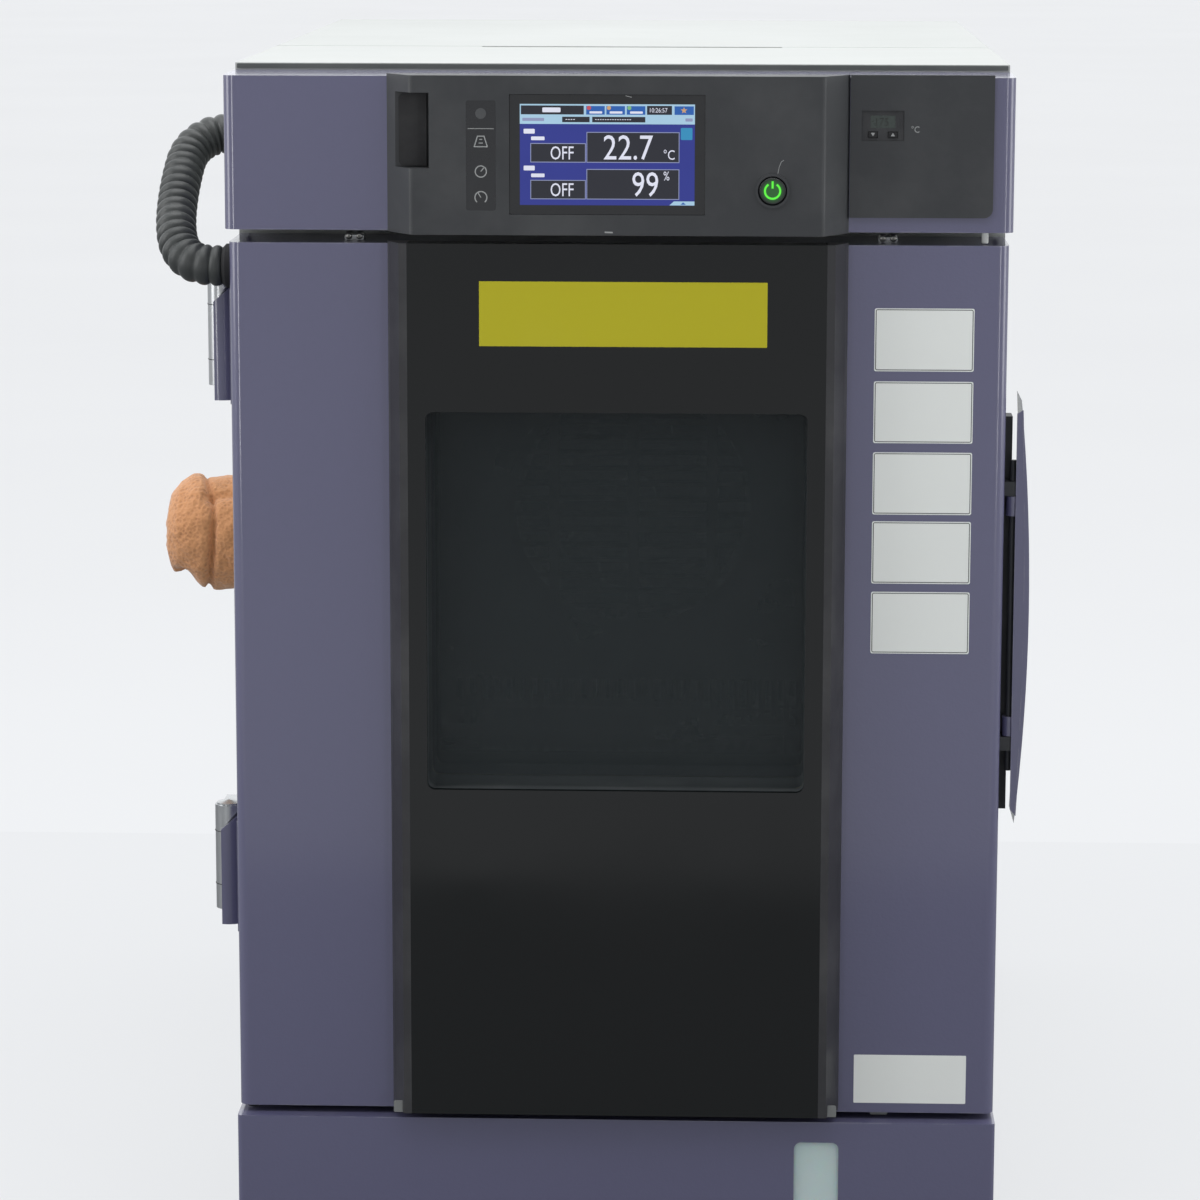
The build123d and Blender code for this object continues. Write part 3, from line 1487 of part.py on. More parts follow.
os.makedirs("parts", exist_ok=True)
to_origin = Pos(-centre_x, -centre_y, 0)
for name, made in build().items():
    placed = Compound(children=[to_origin * solid for solid in solids_of(made)])
    export_step(placed, "parts/" + name + ".step")
print("origin from the middle of the case:", round(centre_x, 3), round(centre_y, 3))
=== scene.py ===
import math

import bmesh
import bpy
from mathutils import Matrix, Vector, noise


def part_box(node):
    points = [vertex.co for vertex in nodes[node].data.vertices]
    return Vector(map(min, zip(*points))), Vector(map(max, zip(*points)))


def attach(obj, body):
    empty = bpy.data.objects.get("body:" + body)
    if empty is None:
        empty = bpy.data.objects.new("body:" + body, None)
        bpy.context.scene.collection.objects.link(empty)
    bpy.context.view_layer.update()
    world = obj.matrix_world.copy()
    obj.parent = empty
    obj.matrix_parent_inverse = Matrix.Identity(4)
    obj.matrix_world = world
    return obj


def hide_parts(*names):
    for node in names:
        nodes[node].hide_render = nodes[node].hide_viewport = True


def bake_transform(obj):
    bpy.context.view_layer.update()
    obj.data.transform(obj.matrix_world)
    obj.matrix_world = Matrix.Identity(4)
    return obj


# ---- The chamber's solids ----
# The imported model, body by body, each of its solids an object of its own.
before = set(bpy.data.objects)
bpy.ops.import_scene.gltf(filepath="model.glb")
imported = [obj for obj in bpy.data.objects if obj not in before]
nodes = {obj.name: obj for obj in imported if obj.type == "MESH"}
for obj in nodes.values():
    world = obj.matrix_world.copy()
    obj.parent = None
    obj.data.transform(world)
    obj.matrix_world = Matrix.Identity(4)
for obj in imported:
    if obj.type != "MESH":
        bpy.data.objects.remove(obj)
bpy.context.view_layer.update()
scene = bpy.context.scene


# ---- The floor ----
# A matt pale worktop, and the slightly lighter floor of the room past its edges. Both are painted
# board that glows a little, so that the ground stays even, and neither is part of the chamber.
def shade(red, green, blue):
    """A colour as a screen gives it, 0 to 255, turned into the light that it stands for."""
    lit = [((c / 255 + 0.055) / 1.055) ** 2.4 if c > 10 else c / 255 / 12.92 for c in (red, green, blue)]
    return (*lit, 1.0)


def node(tree, kind, takes=(), **settings):
    """One shader node, its settings made and its inputs filled or linked."""
    made = tree.nodes.new("ShaderNode" + kind)
    for name, value in settings.items():
        setattr(made, name, value)
    for socket, value in dict(takes).items():
        if isinstance(value, bpy.types.NodeSocket):
            tree.links.new(value, made.inputs[socket])
        else:
            made.inputs[socket].default_value = value
    return made


def mixed(tree, factor, first, second):
    """Two colours put together, by a share that may change over the surface."""
    return node(tree, "Mix", {0: factor, 6: first, 7: second}, data_type="RGBA").outputs[2]


def ranged(tree, value, low, high, to_low=0.0, to_high=1.0):
    """A value stretched from one span to another, and held inside it."""
    return node(tree, "MapRange", {0: value, 1: low, 2: high, 3: to_low, 4: to_high}).outputs[0]


def sums(tree, operation, first, second):
    return node(tree, "Math", {0: first, 1: second}, operation=operation).outputs[0]


def effect(name, takes, gives):
    """A shared effect: its tree, the node that its inputs come from, and a way to say what it gives."""
    tree = bpy.data.node_groups.new(name, "ShaderNodeTree")
    for label, (kind, value) in takes.items():
        socket = tree.interface.new_socket(label, in_out="INPUT", socket_type="NodeSocket" + kind)
        socket.default_value = value
    for label, kind in gives.items():
        tree.interface.new_socket(label, in_out="OUTPUT", socket_type="NodeSocket" + kind)
    source, end = tree.nodes.new("NodeGroupInput"), tree.nodes.new("NodeGroupOutput")
    return tree, source.outputs, lambda label, socket: tree.links.new(socket, end.inputs[label])


def finish(name, colour, roughness, metallic=0.0, **sockets):
    """A material whose plain values stand on the shader itself."""
    material = bpy.data.materials.new(name)
    material.use_nodes = True
    shader = material.node_tree.nodes["Principled BSDF"]
    shader.inputs["Base Color"].default_value = colour
    shader.inputs["Roughness"].default_value = roughness
    shader.inputs["Metallic"].default_value = metallic
    for socket, value in sockets.items():
        shader.inputs[socket.replace("_", " ")].default_value = value
    return material


def layer(material, effect_tree, takes, **feeds):
    """One shared effect in a material, with its own values, feeding the shader's sockets."""
    tree = material.node_tree
    placed = node(tree, "Group", takes, node_tree=effect_tree)
    shader = tree.nodes["Principled BSDF"]
    for socket, output in feeds.items():
        tree.links.new(placed.outputs[output], shader.inputs[socket.replace("_", " ")])
    return placed.outputs


clouds, taken, give = effect("soft clouds", {
    "Colour": ("Color", (1, 1, 1, 1)), "Shade": ("Float", 0.1), "Roughness": ("Float", 0.5),
    "Size": ("Float", 4.0)}, {"Colour": "Color", "Roughness": "Float"})
place = node(clouds, "TexCoord").outputs["Object"]
drift = node(clouds, "TexNoise", {"Vector": place, "Scale": taken["Size"], "Detail": 3.0}).outputs[0]
darker = sums(clouds, "MULTIPLY", drift, taken["Shade"])
give("Colour", mixed(clouds, darker, taken["Colour"], (0, 0, 0, 1)))
give("Roughness", sums(clouds, "ADD", taken["Roughness"], ranged(clouds, drift, 0.3, 0.7, -0.05, 0.05)))

glow_seen = 0.80
boards = (("room_floor", (236, 237, 239), 60.0, 60.0, 60.0, -0.002, 0.45),
          ("worktop", (232, 233, 235), 3.0, 1.3, 0.72, 0.0, 0.12))
for name, tone, side, near, far, top, glow_cast in boards:
    board = finish(name, shade(*tone), 0.8, Specular_IOR_Level=0.1)
    surface = board.node_tree.nodes["Principled BSDF"].inputs
    surface["Emission Color"].default_value = shade(*tone)
    looked_at = node(board.node_tree, "LightPath").outputs["Is Camera Ray"]
    glow = ranged(board.node_tree, looked_at, 0.0, 1.0, glow_cast, glow_seen)
    board.node_tree.links.new(glow, surface["Emission Strength"])
    layer(board, clouds, {"Colour": shade(104, 106, 108), "Shade": 0.03, "Roughness": 0.8, "Size": 1.3},
          Base_Color="Colour", Roughness="Roughness")
    mesh = bpy.data.meshes.new(name)
    mesh.from_pydata([(-side, -near, top), (side, -near, top), (side, far, top), (-side, far, top)], [],
                     [(0, 1, 2, 3)])
    mesh.materials.append(board)
    floor = bpy.data.objects.new(name, mesh)
    scene.collection.objects.link(floor)


# ---- The camera and the light ----
# The lens and the place that the photograph was taken from, and a pale room's light: a surround that
# is dimmer on the camera's side, a soft panel overhead and one on each side, and two narrow ones in
# front, which draw the bright lines along the corners.
lens = bpy.data.cameras.new("camera")
lens.sensor_width = 36.0
lens.lens = 125.209
lens.clip_end = 120.0
camera = bpy.data.objects.new("camera", lens)
scene.collection.objects.link(camera)
turn, dip, lean = -0.0352, 0.1772, -0.0018
forward = Vector((math.sin(turn) * math.cos(dip), math.cos(turn) * math.cos(dip), -math.sin(dip)))
right = Vector((math.cos(turn), -math.sin(turn), 0.0))
up = Vector((math.sin(turn) * math.sin(dip), math.cos(turn) * math.sin(dip), math.cos(dip)))
across = math.cos(lean) * right - math.sin(lean) * up
upward = math.sin(lean) * right + math.cos(lean) * up
lens_place = Vector((0.097135, -2.666698, 0.80797))
camera.matrix_world = Matrix.Translation(lens_place) @ Matrix(
    (across, upward, -forward)).transposed().to_4x4()
scene.camera = camera
scene.view_settings.view_transform = "Standard"

room = bpy.data.worlds.new("pale_room")
room.use_nodes = True
scene.world = room
sky = room.node_tree
direction = node(sky, "SeparateXYZ", {0: node(sky, "TexCoord").outputs["Generated"]}).outputs
seen = node(sky, "LightPath").outputs["Is Camera Ray"]
dim_side, bright_side, backdrop = 0.2, 1.25, 0.86
strength = ranged(sky, direction[1], -0.8, 0.2, dim_side, bright_side)
strength = ranged(sky, seen, 0.0, 1.0, strength, backdrop)
sky.links.new(strength, sky.nodes["Background"].inputs["Strength"])
sky.nodes["Background"].inputs["Color"].default_value = (0.965, 0.985, 1.0, 1.0)

aim = Vector((0.0, 0.0, 0.4))
for name, stand, size, power in (
        ("overhead_panel", (0.0, -0.6, 2.6), (2.6, 2.2), 36.0),
        ("left_panel", (-2.4, -1.0, 1.3), (1.2, 2.2), 24.0),
        ("right_panel", (2.5, -0.6, 1.2), (1.2, 2.2), 20.0),
        ("left_strip", (-1.15, -2.7, 0.9), (0.16, 1.7), 6.0),
        ("right_strip", (1.35, -2.6, 0.9), (0.16, 1.7), 6.0)):
    panel = bpy.data.lights.new(name, "AREA")
    panel.shape = "RECTANGLE"
    panel.size, panel.size_y = size
    panel.energy = power
    lamp = bpy.data.objects.new(name, panel)
    scene.collection.objects.link(lamp)
    lamp.location = stand
    lamp.rotation_euler = (aim - Vector(stand)).to_track_quat("-Z", "Y").to_euler()


# ---- Base pan, feet, electrical box and the drawer's tray ----
# Zinc coated sheet, folded and left bare: a spangled, faintly brushed grey that dulls with handling.
# The pan carries everything and stands on turned rubber feet.
def dress(material, *names):
    """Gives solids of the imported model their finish."""
    for name in names:
        for slot in nodes[name].material_slots:
            slot.material = material


brushed, taken, give = effect("brushed metal", {
    "Metal": ("Color", (0.6, 0.6, 0.6, 1)), "Shade": ("Float", 0.2), "Roughness": ("Float", 0.3),
    "Grain": ("Vector", (300.0, 300.0, 8.0))}, {"Colour": "Color", "Roughness": "Float", "Height": "Float"})
place = node(brushed, "TexCoord").outputs["Object"]
drawn = node(brushed, "VectorMath", {0: place, 1: taken["Grain"]}, operation="MULTIPLY").outputs[0]
lines = node(brushed, "TexNoise", {
    "Vector": drawn, "Scale": 4.0, "Detail": 4.0, "Roughness": 0.65}).outputs[0]
stains = node(brushed, "TexNoise", {"Vector": place, "Scale": 11.0, "Detail": 5.0}).outputs[0]
both = sums(brushed, "MULTIPLY", lines, stains)
give("Colour", mixed(brushed, sums(brushed, "MULTIPLY", both, taken["Shade"]), taken["Metal"],
                     (0.02, 0.02, 0.02, 1)))
give("Roughness", sums(brushed, "ADD", taken["Roughness"], ranged(brushed, stains, 0.35, 0.65, -0.06, 0.08)))
give("Height", lines)

zinc = finish("zinc_sheet", shade(170, 173, 175), 0.42, 0.85)
spangle = node(zinc.node_tree, "TexVoronoi", {
    "Vector": node(zinc.node_tree, "TexCoord").outputs["Object"], "Scale": 95.0}).outputs["Color"]
grey = node(zinc.node_tree, "SeparateColor", {0: spangle}).outputs[0]
crystals = mixed(zinc.node_tree, grey, shade(158, 161, 163), shade(186, 189, 191))
layer(zinc, brushed, {"Metal": crystals, "Shade": 0.5, "Roughness": 0.4, "Grain": (40.0, 40.0, 40.0)},
      Base_Color="Colour", Roughness="Roughness")
dress(zinc, "base_pan", "electrical_box", "tank_tray")

grained, taken, give = effect("moulded grain", {
    "Colour": ("Color", (0.1, 0.1, 0.1, 1)), "Shade": ("Float", 0.2), "Roughness": ("Float", 0.5),
    "Grain": ("Float", 1400.0)}, {"Colour": "Color", "Roughness": "Float", "Height": "Float"})
place = node(grained, "TexCoord").outputs["Object"]
fine = node(grained, "TexNoise", {"Vector": place, "Scale": taken["Grain"], "Detail": 2.0}).outputs[0]
worn = node(grained, "TexNoise", {"Vector": place, "Scale": 18.0, "Detail": 5.0, "Roughness": 0.6}).outputs[0]
lift = sums(grained, "MULTIPLY", ranged(grained, worn, 0.45, 0.75), taken["Shade"])
give("Colour", mixed(grained, lift, taken["Colour"], (0.5, 0.5, 0.49, 1)))
give("Roughness", sums(grained, "ADD", taken["Roughness"], ranged(grained, worn, 0.3, 0.7, 0.06, -0.06)))
give("Height", fine)


def relief(material, height, depth):
    """Fine relief, with its depth in metres."""
    tree = material.node_tree
    bump = node(tree, "Bump", {"Height": height, "Distance": depth})
    tree.links.new(bump.outputs["Normal"], tree.nodes["Principled BSDF"].inputs["Normal"])


def moulding(name, colour, roughness, scuffs, grain, depth, **sockets):
    """A moulded finish with its own grain."""
    made = finish(name, colour, roughness, **sockets)
    out = layer(made, grained, {"Colour": colour, "Shade": scuffs, "Roughness": roughness, "Grain": grain},
                Base_Color="Colour", Roughness="Roughness")
    relief(made, out["Height"], depth)
    return made


rubber = moulding("black_rubber", shade(36, 36, 38), 0.72, 0.06, 900.0, 0.00006, Specular_IOR_Level=0.35)
dress(rubber, "levelling_feet")


# ---- Refrigerating machine ----
# A welded compressor under black enamel, a condenser of pressed aluminium fins and its fan in a
# frame of glass filled plastic. They stand on the base pan behind the rear grille.
film, taken, give = effect("paint film", {
    "Paint": ("Color", (0.2, 0.2, 0.3, 1)), "Shade": ("Float", 0.1), "Roughness": ("Float", 0.4),
    "Peel": ("Float", 700.0)}, {"Colour": "Color", "Roughness": "Float", "Height": "Float"})
place = node(film, "TexCoord").outputs["Object"]
peel = node(film, "TexNoise", {"Vector": place, "Scale": taken["Peel"], "Detail": 1.5}).outputs[0]
hand = node(film, "TexNoise", {"Vector": place, "Scale": 3.2, "Detail": 4.0, "Roughness": 0.55}).outputs[0]
specks = node(film, "TexNoise", {"Vector": place, "Scale": 160.0, "Detail": 2.0}).outputs[0]
tone = sums(film, "ADD", sums(film, "MULTIPLY", hand, 0.8), sums(film, "MULTIPLY", specks, 0.2))
give("Colour", mixed(film, sums(film, "MULTIPLY", tone, taken["Shade"]), taken["Paint"], (0, 0, 0, 1)))
give("Roughness", sums(film, "ADD", taken["Roughness"], ranged(film, hand, 0.35, 0.65, -0.05, 0.06)))
give("Height", peel)

wear, taken, give = effect("edge wear", {
    "Colour": ("Color", (0.2, 0.2, 0.3, 1)), "Bare": ("Color", (0.5, 0.5, 0.5, 1)), "Amount": ("Float", 0.5),
    "Reach": ("Float", 0.0012)}, {"Colour": "Color"})
rounded = node(wear, "Bevel", {"Radius": taken["Reach"]}, samples=4).outputs[0]
facing = node(wear, "NewGeometry").outputs["Normal"]
same = node(wear, "VectorMath", {0: rounded, 1: facing}, operation="DOT_PRODUCT").outputs["Value"]
edge = ranged(wear, same, 0.995, 0.90)
patchy = node(wear, "TexNoise", {"Vector": node(wear, "TexCoord").outputs["Object"], "Scale": 55.0,
                                 "Detail": 6.0, "Roughness": 0.7}).outputs[0]
rubbed = sums(wear, "MULTIPLY", edge, ranged(wear, patchy, 0.45, 0.6))
rubbed = sums(wear, "MULTIPLY", rubbed, taken["Amount"])
give("Colour", mixed(wear, rubbed, taken["Colour"], taken["Bare"]))

settled, taken, give = effect("settled dust", {
    "Colour": ("Color", (0.2, 0.2, 0.3, 1)), "Amount": ("Float", 0.3)}, {"Colour": "Color"})
facing_up = node(settled, "SeparateXYZ", {0: node(settled, "NewGeometry").outputs["Normal"]}).outputs[2]
spread = node(settled, "TexNoise", {"Vector": node(settled, "TexCoord").outputs["Object"], "Scale": 40.0,
                                    "Detail": 6.0, "Roughness": 0.7}).outputs[0]
lying = sums(settled, "MULTIPLY", ranged(settled, facing_up, 0.55, 0.95),
             ranged(settled, spread, 0.3, 0.8))
give("Colour", mixed(settled, sums(settled, "MULTIPLY", lying, taken["Amount"]), taken["Colour"],
                     shade(176, 174, 168)))


def painted(name, paint, roughness, mottle, peel, depth, bare, worn, dust, **sockets):
    """A sprayed or powder coated finish: its film, what rubs off at its edges, and what settles on it."""
    made = finish(name, paint, roughness, **sockets)
    coat = layer(made, film, {"Paint": paint, "Shade": mottle, "Roughness": roughness, "Peel": peel},
                 Roughness="Roughness")
    rubbed_coat = layer(made, wear, {"Colour": coat["Colour"], "Bare": bare, "Amount": worn})
    layer(made, settled, {"Colour": rubbed_coat["Colour"], "Amount": dust}, Base_Color="Colour")
    relief(made, coat["Height"], depth)
    return made


enamel = painted("black_enamel", shade(40, 41, 44), 0.3, 0.3, 260.0, 0.0001, shade(96, 78, 66), 0.5, 0.6)
dress(enamel, "compressor")


def bare_metal(name, colour, roughness, metallic, streaks, drawn, grain, drawn_colour=None, depth=0.0):
    """Bare metal with drawing marks: their strength, their roughness and the way that they run."""
    made = finish(name, colour, roughness, metallic)
    out = layer(made, brushed, {"Metal": drawn_colour or colour, "Shade": streaks, "Roughness": drawn,
                                "Grain": grain}, Base_Color="Colour", Roughness="Roughness")
    if depth:
        relief(made, out["Height"], depth)
    return made


fin_metal = bare_metal("fin_aluminium", shade(188, 192, 196), 0.38, 0.9, 0.6, 0.36, (600.0, 40.0, 12.0))
dress(fin_metal, "condenser")

filled = moulding("glass_filled_plastic", shade(44, 45, 48), 0.55, 0.10, 700.0, 0.00008)
dress(filled, "condenser_fan_frame", "condenser_fan")


# ---- Test space ----
# A ground stainless tub with shelf standards, the duct panel with its round welded guard, and the
# fan, coil, heater and tray behind it. Rigid foam stands between the tub and the case.
steel = bare_metal("ground_stainless", shade(196, 198, 198), 0.24, 1.0, 0.55, 0.22, (10.0, 300.0, 300.0),
                   depth=0.00003)
dress(steel, "inner_tub", "duct_panel", "humidifying_tray", "temperature_sensor")
wire = bare_metal("bright_stainless", shade(206, 208, 208), 0.16, 1.0, 0.35, 0.15, (60.0, 60.0, 60.0))
dress(wire, "fan_guard", "shelf_standards")
sheath = bare_metal("heat_tinted_sheath", shade(112, 102, 96), 0.35, 1.0, 1.0, 0.33, (25.0, 90.0, 90.0),
                    drawn_colour=shade(120, 106, 96))
dress(sheath, "heater_coil")
dress(fin_metal, "evaporator_coil", "circulation_fan")
dress(enamel, "fan_motor")

# Foam cells: each cell's hollow is darkened towards the pore colour, painted shade in the pores.
cells, taken, give = effect("foam cells", {
    "Colour": ("Color", (0.8, 0.7, 0.5, 1)), "Deep": ("Color", (0.3, 0.2, 0.1, 1)),
    "Cells": ("Float", 600.0)}, {"Colour": "Color", "Height": "Float", "Roughness": "Float"})
place = node(cells, "TexCoord").outputs["Object"]
bubble = node(cells, "TexVoronoi", {"Vector": place, "Scale": taken["Cells"]}).outputs["Distance"]
cloud = node(cells, "TexNoise", {"Vector": place, "Scale": 60.0, "Detail": 5.0, "Roughness": 0.6}).outputs[0]
pore_shade = ranged(cells, bubble, 0.55, 0.1)
give("Colour", mixed(cells, sums(cells, "MULTIPLY", pore_shade, ranged(cells, cloud, 0.3, 0.8, 0.15, 0.7)),
                     taken["Colour"], taken["Deep"]))
give("Height", bubble)
give("Roughness", ranged(cells, cloud, 0.3, 0.7, 0.85, 0.98))

rigid = finish("rigid_foam", shade(226, 214, 176), 0.9)
# The darker pore colour is painted shade in the foam's cells.
blown = layer(rigid, cells, {"Colour": shade(226, 214, 176), "Deep": shade(180, 160, 112), "Cells": 900.0},
              Base_Color="Colour", Roughness="Roughness")
relief(rigid, blown["Height"], 0.0002)
dress(rigid, "tub_insulation")


# ---- Case ----
# Folded steel panels and a front frame under a smooth light grey powder coat, screwed along their
# edges, with a seam between the two top plates. The rear carries the power inlet, the drain port and
# a plain plate with nothing on it.
light_paint = painted("light_grey_paint", shade(184, 187, 185), 0.42, 0.07, 420.0, 0.00006,
                      shade(150, 150, 150), 0.35, 0.12)
dress(light_paint, "side_panel_left", "side_panel_right", "rear_panel", "top_plates", "front_frame")
dress(filled, "power_inlet", "drain_port")
shift_x, shift_y = 24.85, -344.6


def at(x, y, z):
    """Millimetres from the middle of the case, the door's front plane and the floor, in metres."""
    return Vector(((x + shift_x) / 1000, (y + shift_y) / 1000, z / 1000))


def build(name, parts, material, body, smooth_below=34):
    """One piece made of several closed shapes, riding on a body."""
    corners, faces = [], []
    for part_corners, part_faces in parts:
        faces += [[index + len(corners) for index in face] for face in part_faces]
        corners += part_corners
    mesh = bpy.data.meshes.new(name)
    mesh.from_pydata(corners, [], faces)
    shape = bmesh.new()
    shape.from_mesh(mesh)
    bmesh.ops.recalc_face_normals(shape, faces=shape.faces)
    shape.to_mesh(mesh)
    shape.free()
    mesh.shade_smooth()
    mesh.set_sharp_from_angle(angle=math.radians(smooth_below))
    mesh.materials.append(material)
    piece = bpy.data.objects.new(name, mesh)
    scene.collection.objects.link(piece)
    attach(piece, body)
    return piece


def turned(profile, centre, axis, sides):
    """A turned shape: (radius, height) pairs along an axis, closed at both ends."""
    out = Vector(axis).normalized()
    first = out.orthogonal().normalized()
    second = out.cross(first)
    corners = []
    for radius, height in profile:
        for i in range(sides):
            angle = 2 * math.pi * i / sides
            spoke = math.cos(angle) * first + math.sin(angle) * second
            corners.append(centre + (spoke * radius + out * height) / 1000)
    faces = [[row * sides + i, row * sides + (i + 1) % sides, (row + 1) * sides + (i + 1) % sides,
              (row + 1) * sides + i] for row in range(len(profile) - 1) for i in range(sides)]
    faces += [list(range(sides))[::-1], [(len(profile) - 1) * sides + i for i in range(sides)]]
    return corners, faces


def prism(outline, low, high, place_of):
    """A flat outline given a thickness. place_of turns (u, v, depth) into a place in metres."""
    count = len(outline)
    corners = [place_of(u, v, depth) for depth in (low, high) for u, v in outline]
    faces = [list(range(count))[::-1], list(range(count, 2 * count))]
    faces += [[i, (i + 1) % count, count + (i + 1) % count, count + i] for i in range(count)]
    return corners, faces


def box_outline(x0, y0, x1, y1, corner=0.0):
    """A rectangle, with its corners rounded if asked."""
    if corner <= 0:
        return [(x0, y0), (x1, y0), (x1, y1), (x0, y1)]
    points, steps = [], 4
    for cx, cy, start in ((x1 - corner, y0 + corner, -90), (x1 - corner, y1 - corner, 0),
                          (x0 + corner, y1 - corner, 90), (x0 + corner, y0 + corner, 180)):
        for step in range(steps + 1):
            angle = math.radians(start + 90 * step / steps)
            points.append((cx + corner * math.cos(angle), cy + corner * math.sin(angle)))
    return points


def pan_screw(centre, axis, radius):
    """A pan head screw: a domed head, with a cross recess that narrows towards its floor."""
    sides, arm, bore, crown = 24, 0.40, 0.13, 0.68
    head = [(radius, 0.0), (radius, 0.25 * radius), (0.93 * radius, 0.45 * radius),
            (0.72 * radius, 0.62 * radius), (0.45 * radius, crown * radius)]
    out = Vector(axis).normalized()
    first = out.orthogonal().normalized()
    second = out.cross(first)
    corners, faces = turned(head, centre, axis, sides)
    faces.pop()
    ring = [(len(head) - 1) * sides + i for i in range(sides)]
    inner = []
    for i in range(sides):
        angle = 2 * math.pi * i / sides
        in_arm = i % 6 in (0, 1, 5)
        reach = (arm if in_arm else bore) * radius
        spoke = math.cos(angle) * first + math.sin(angle) * second
        corners.append(centre + (spoke * reach + out * radius * crown) / 1000)
        inner.append(len(corners) - 1)
    low = []
    for i in range(sides):
        corners.append(corners[inner[i]] * 0.55 + (centre + out * radius * 0.2 / 1000) * 0.45
                       - out * radius * 0.1 / 1000)
        low.append(len(corners) - 1)
    for i in range(sides):
        j = (i + 1) % sides
        faces.append([ring[i], ring[j], inner[j], inner[i]])
        faces.append([inner[i], inner[j], low[j], low[i]])
    faces.append(low)
    return corners, faces


rear_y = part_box("rear_panel")[1].y


def on_rear(u, v, depth):
    return Vector((at(u, 0, 0).x, rear_y + depth / 1000, v / 1000))


screw_metal = bare_metal("screw_zinc", shade(190, 190, 186), 0.3, 1.0, 0.7, 0.28, (120.0, 120.0, 120.0))
rear_places = [(x, z) for z in (34.0, 240.0, 470.0, 672.0) for x in (-193.0, 193.0)]
rear_places += [(x, z) for x in (-70.0, 70.0) for z in (30.0, 677.0)]
build("rear_panel_screws", [pan_screw(on_rear(x, z, 0), (0, 1, 0), 3.4) for x, z in rear_places], screw_metal,
      "cabinet")
side_x = 219.0
side_places = [(side, y, z) for side in (-1, 1) for y in (84.0, 250.0, 430.0, 668.0) for z in (30.5, 676.0)]
build("side_panel_screws", [pan_screw(at(side * side_x, y, z), (side, 0, 0), 2.9)
                            for side, y, z in side_places], screw_metal, "cabinet")
plate_metal = bare_metal("blank_plate_aluminium", shade(200, 202, 203), 0.35, 0.9, 0.4, 0.33,
                         (6.0, 6.0, 500.0))
build("blank_rear_plate", [prism(box_outline(-168.0, 545.0, -78.0, 605.0, 3.0), 0.0, 0.5, on_rear)],
      plate_metal, "cabinet")


# ---- Cable port and its sponge plug ----
# A round stainless port through the left side, stopped with a folded lump of orange open foam that
# is pushed in by hand. Its outer part is rolled over itself, with a crease and a torn notch below.
dress(steel, "cable_port_tube")
foam = finish("orange_sponge", shade(214, 150, 98), 0.95, Sheen_Weight=0.25, Sheen_Roughness=0.6)
# The darker brown in the pores is painted shade in the sponge's cells.
torn = layer(foam, cells, {"Colour": shade(206, 146, 98), "Deep": shade(138, 82, 48), "Cells": 420.0},
             Base_Color="Colour", Roughness="Roughness")
relief(foam, torn["Height"], 0.0006)
port_y, port_z, rows, spokes = 205.0, 396.0, 110, 128
widest, crease_depth, roll_height, flap_depth, notch_depth = 35.9, 5.5, 1.6, 3.2, 11.0
plug_profile = [(-160.0, 0.0), (-160.4, 22.0), (-162.0, 28.5), (-170.0, 30.2), (-200.0, 30.4),
                (-219.5, 30.4), (-223.5, 32.5), (-226.0, 35.0), (-240.0, 35.6), (-256.0, 35.2),
                (-266.0, 35.0), (-274.0, 32.0), (-279.5, 26.0), (-282.0, 16.0), (-282.6, 0.0)]


def plug_at(share):
    """The plug's outline, x and radius, at a share of its length along the outline."""
    spans = [math.dist(a, b) for a, b in zip(plug_profile, plug_profile[1:])]
    left = share * sum(spans)
    for (x0, r0), (x1, r1), span in zip(plug_profile, plug_profile[1:], spans):
        if left <= span or (x1, r1) == plug_profile[-1]:
            t = min(left / span, 1.0)
            return x0 + (x1 - x0) * t, r0 + (r1 - r0) * t
        left -= span


def furrow(distance, width):
    """How deep a soft furrow is at a distance from its middle, from 1 down to 0."""
    return math.exp(-(distance / width) ** 2)


corners, faces = [], []
for row in range(rows + 1):
    x, radius = plug_at(row / rows)
    for i in range(spokes):
        angle = 2 * math.pi * i / spokes
        side, height = math.cos(angle), math.sin(angle)
        free = min(max((-222.0 - x) / 6.0, 0.0), 1.0) * min(radius / 20.0, 1.0)
        lump = noise.fractal(Vector((x * 0.06, side * 1.6, height * 1.6)), 0.8, 2.0, 3) * 2.6
        crease_x = -255.0 + 4.0 * side - 7.0 * max(height, 0.0) ** 3 + 3.0 * height
        crease = crease_depth * furrow(x - crease_x, 1.6) * (0.55 + 0.45 * side)
        roll = roll_height * furrow(x - crease_x + 7.0, 6.0)
        flap = flap_depth * furrow(height - 0.80 - 0.004 * (x + 240.0), 0.07) * (x > -258.0) * (side > 0)
        notch = notch_depth * furrow(height + 0.88, 0.20) * furrow(x + 270.0, 6.5)
        reach = min(radius + free * (lump * 0.8 - 1.2 - crease + roll - flap - notch), widest)
        corners.append(at(x + free * 0.5 * lump * (x < -262), port_y - side * reach, port_z + height * reach))
        if row < rows:
            j = (i + 1) % spokes
            faces.append([row * spokes + i, row * spokes + j, (row + 1) * spokes + j, (row + 1) * spokes + i])
sponge = build("sponge_plug", [(corners, faces)], foam, "port_plug", 180)
shape = bmesh.new()
shape.from_mesh(sponge.data)
bmesh.ops.remove_doubles(shape, verts=shape.verts, dist=0.00002)
shape.to_mesh(sponge.data)
shape.free()
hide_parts("cable_port_plug")


# ---- Control housing ----
# A folded steel box under purple powder coat with a clear gloss, screwed to the front frame. The
# door, its handle, the hinge covers and the base front have the same paint.
purple = painted("purple_powder_coat", shade(89, 88, 121), 0.40, 0.16, 620.0, 0.00009,
                 shade(150, 150, 160), 0.5, 0.12, Coat_Weight=0.8, Coat_Roughness=0.12, Coat_IOR=1.8)
dress(purple, "control_housing")
